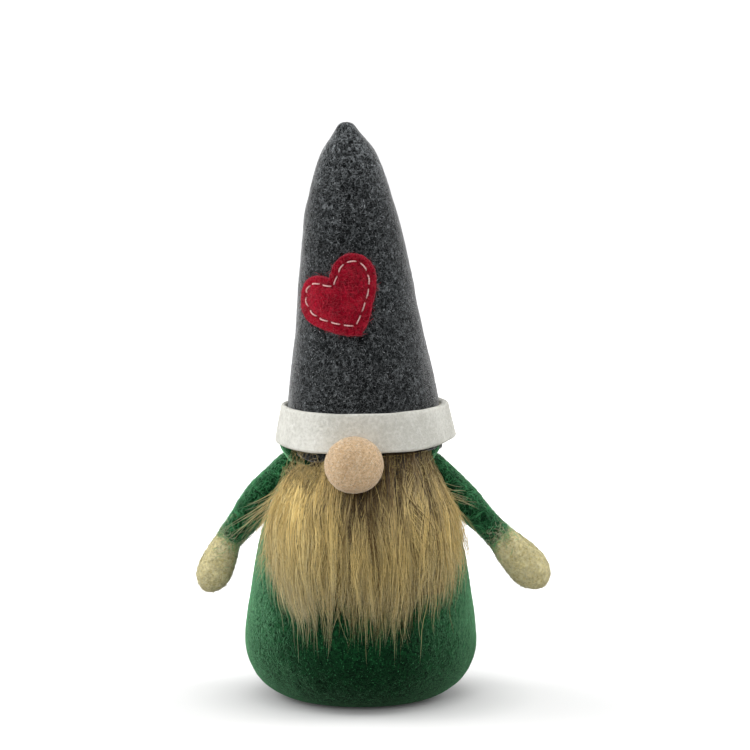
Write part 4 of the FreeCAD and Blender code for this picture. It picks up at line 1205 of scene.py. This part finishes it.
def beard_core():
    """Undercoat that fills the beard between its backing and its locks, dark with painted shade where it shows in the
    gaps between locks.
    """
    heights = np.linspace(86.5, 41, 90) * MM
    seeds = np.linspace(-0.93, 0.93, 150)
    azimuth = flow_azimuth(seeds[None], heights[:, None])
    inner = bell_radius(heights)[:, None] + 1.25 * MM
    outer = pile_radius(heights[:, None], azimuth)
    low_end = ease((heights - 41 * MM) / (12 * MM))[:, None]
    top_end = ease((88 * MM - heights) / (9 * MM))[:, None]
    sides = ease((1 - np.abs(seeds) / 0.93) / 0.25)[None]
    notch = 1 - np.exp(-((seeds[None] - PARTING) / 0.035) ** 2) * ease((62 * MM - heights) / (14 * MM))[:, None]
    depth = 0.3 * MM + (outer - inner) * 0.62 * low_end * top_end * sides * notch
    unrolled = np.stack([azimuth * 40 * MM, heights[:, None] * 0.08 + azimuth * 0, azimuth * 0], -1)
    ridges = Field(95).at(unrolled, 1.6 * MM)
    depth = np.maximum(depth + ridges * 0.5 * MM, 0.25 * MM)
    front = at_azimuth(azimuth, inner + depth, heights[:, None])
    back = at_azimuth(azimuth, inner, heights[:, None])
    return ring_object("beard_undercoat_and_shade", keep_off_arms(np.concatenate([front, back[:, ::-1]], 1)), BEARD_UNDERCOAT_AND_SHADE,
                       flat=True)


def beard_backing():
    """Knitted cloth under the pile, glued round the top of the bell."""
    heights = np.linspace(82.5, 46, 60) * MM
    shares = np.linspace(-1, 1, 120)
    half = 22.5 * MM
    rings = []
    for offset, order in ((1.15 * MM, 1), (0.35 * MM, -1)):
        radius = bell_radius(heights)[:, None] + offset
        azimuth = (shares[::order] * half)[None] / radius
        rings.append(at_azimuth(azimuth, radius, heights[:, None]))
    backing = ring_object("beard_cloth", np.concatenate(rings, 1), PILE_BACKING, flat=True)
    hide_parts("beard_backing_top", "beard_backing_flap")
    return backing


# ---- build ------------------------------------------------------------------------------------
body = make_body()
hat = make_hat()
band = make_band()
heart = make_heart()
nose = make_nose()
arms = {name: make_arm(name, side) for name, side in SIDES.items()}
make_beard()


def front_free(points):
    """False where the beard hides the body."""
    azimuth = np.arctan2(points[:, 0], -points[:, 1])
    return ~((np.abs(azimuth) < 0.62) & (points[:, 2] > 44 * MM)) & (points[:, 2] < 84 * MM) & (points[:, 2] > 2.5 * MM)


def hat_shown(points):
    """True on the hat's outside above the band and on its hem."""
    foot = np.abs(points[:, 2] - 94 * MM) > 5 * MM
    far = np.linalg.norm((points - axis_point(points[:, 2]))[:, :2], axis=1)
    return foot & (far > rough_hat_radius(points[:, 2]) - 1.5 * MM)


FIBRES = {"grey": GREY_FIBRE, "green": GREEN_FIBRE, "white": WHITE_FIBRE, "red": RED_FIBRE, "beige": BEIGE_FIBRE,
          "cream": CREAM_FIBRE}


def dress(name, host, colour, body_name, count, seed, **options):
    """Loose fibres of one of the wools on a host, on its body."""
    for piece in fuzz(name, host, FIBRES[colour], count, seed, **options):
        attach(piece, body_name)


dress("hat_fuzz", hat, "grey", "root", 19000, 101, length=(2.4, 6.0), keep=hat_shown, groups=4, stand=0.24,
      skew=1.9, curl=0.55, width=0.044)
dress("body_fuzz", body, "green", "root", 25000, 102, keep=front_free, groups=4, stand=0.3, skew=1.6, curl=0.8,
      width=0.052)
dress("band_fuzz", band, "white", "root", 4200, 103, length=(1.2, 3.4), lift=0.3, stand=0.16)
dress("hat_curls", hat, "grey", "root", 3600, 114, length=(4.0, 9.0), keep=hat_shown, lift=0.3, stand=0.2, skew=0.35,
      curl=0.45, width=0.05)
DOWN = {"length": (1.2, 3.2), "stand": 1.0, "width": 0.042, "curl": 0.9, "skew": 0.7}
dress("hat_down", hat, "grey", "root", 6000, 113, keep=hat_shown, **DOWN)
dress("body_down", body, "green", "root", 7000, 113, keep=front_free, **DOWN)
dress("heart_fuzz", heart, "red", "root", 2600, 104, length=(1.2, 3.4), lift=0.3, stand=0.3, width=0.035, curl=0.9)
dress("nose_fuzz", nose, "beige", "root", 3400, 105, length=(3.0, 8.0), lift=0.3, stand=0.2, curl=0.6, width=0.075,
      skew=1.5)
CLINGING = {"left": (36, 34), "right": (24, 22)}
SEAM = {"lift": 0.35, "stand": 0.15, "curl": 0.7}
for name, (sleeve, hand, pivot, down_arm, sleeve_length) in arms.items():
    def near_wrist(points, pivot=pivot, down_arm=down_arm, sleeve_length=sleeve_length):
        """True close to the seam between sleeve and hand, thinning out away from it."""
        off = np.abs((points - pivot) @ down_arm - sleeve_length)
        return off < np.random.default_rng(110).exponential(1.6, len(points)) * MM

    arm = name + "_arm"
    clinging_hairs(name, SIDES[name], pivot, down_arm, *CLINGING[name])
    dress(name + "_seam_green", hand, "green", arm, 5200, 111, length=(1.5, 3.6), keep=near_wrist, **SEAM)
    dress(name + "_seam_cream", sleeve, "cream", arm, 5200, 112, length=(1.5, 3.4), keep=near_wrist, **SEAM)
    dress(name + "_sleeve_fuzz", sleeve, "green", arm, 2600, 106, stand=0.25, skew=1.5, curl=0.7)
    dress(name + "_hand_fuzz", hand, "cream", arm, 1900, 108, length=(1.6, 3.6), lift=0.3, stand=0.2, curl=0.8)

INNER = {"base_stitches": GREEN_THREAD, "ballast_pouch": CALICO, "ballast_grit": GRIT, "body_stuffing": STUFFING,
         "hat_stuffing": STUFFING, "hat_glue": GLUE, "hat_band_glue": GLUE, "nose_glue": GLUE, "beard_glue": GLUE}
for name in SIDES:
    INNER.update({name + "_arm_wire": WIRE, name + "_shoulder_thread": STRONG_THREAD,
                  name + "_shoulder_button": BUTTON_WOOD})
for name, material in INNER.items():
    nodes[name].data.materials.clear()
    nodes[name].data.materials.append(material)


# ---- light and floor --------------------------------------------------------------------------
def area_light(name, place, aim, size, power, colour=(1, 1, 1)):
    data = bpy.data.lights.new(name, "AREA")
    data.shape = "RECTANGLE"
    data.size, data.size_y = size
    data.energy = power
    data.color = colour
    lamp = placed(name, data)
    lamp.location = place
    lamp.rotation_euler = (Vector(aim) - Vector(place)).to_track_quat("-Z", "Y").to_euler()
    lamp.visible_camera = False


FLOOR_GLOW = 0.02  # light that the floor gives off under the figure


def make_floor():
    mesh = bpy.data.meshes.new("floor")
    mesh.from_pydata([(-4, -4, 0), (4, -4, 0), (4, 4, 0), (-4, 4, 0)], [], [(0, 1, 2, 3)])
    n = Nodes("floor_white", roughness=0.9, specular=0.0)
    n.shader.inputs["Emission Color"].default_value = (1, 1, 1, 1)
    away = n.vector("LENGTH", n.place())
    glow = n.maths("ADD", n.spread(away, 27, 62, FLOOR_GLOW, 0.2), n.spread(away, 90, 300, 0.0, 0.7))
    seen = n.tree.nodes.new("ShaderNodeLightPath").outputs["Is Camera Ray"]
    n.tree.links.new(n.maths("MULTIPLY", glow, n.spread(seen, 0, 1, 0.15, 1)), n.shader.inputs["Emission Strength"])
    n.colour(n.blend(seen, (0.5, 0.5, 0.5), (0.85, 0.85, 0.85)))
    mesh.materials.append(n.material)
    floor = placed("floor", mesh)


def make_world():
    world = bpy.data.worlds.new("studio")
    world.use_nodes = True
    bpy.context.scene.world = world
    tree = world.node_tree
    shade = tree.nodes["Background"]
    shade.inputs["Color"].default_value = (1, 1, 1, 1)
    ray = tree.nodes.new("ShaderNodeLightPath")
    level = tree.nodes.new("ShaderNodeMapRange")
    level.inputs["To Min"].default_value = 0.27
    level.inputs["To Max"].default_value = 1.1
    tree.links.new(ray.outputs["Is Camera Ray"], level.inputs["Value"])
    tree.links.new(level.outputs[0], shade.inputs["Strength"])


make_floor()
make_world()
area_light("left_side", (-0.75, 0.16, 0.34), (0, 0, 0.10), (0.6, 0.9), 5.8)
area_light("right_side", (0.78, 0.20, 0.34), (0, 0, 0.10), (0.5, 0.9), 4.8)
area_light("overhead", (0.0, 0.05, 1.05), (0, 0, 0.05), (1.1, 1.1), 5.5)
area_light("front", (-0.25, -1.1, 0.5), (0, 0, 0.09), (0.7, 0.7), 4.3)
bpy.context.scene.view_settings.view_transform = "Standard"
bpy.context.scene.view_settings.look = "None"
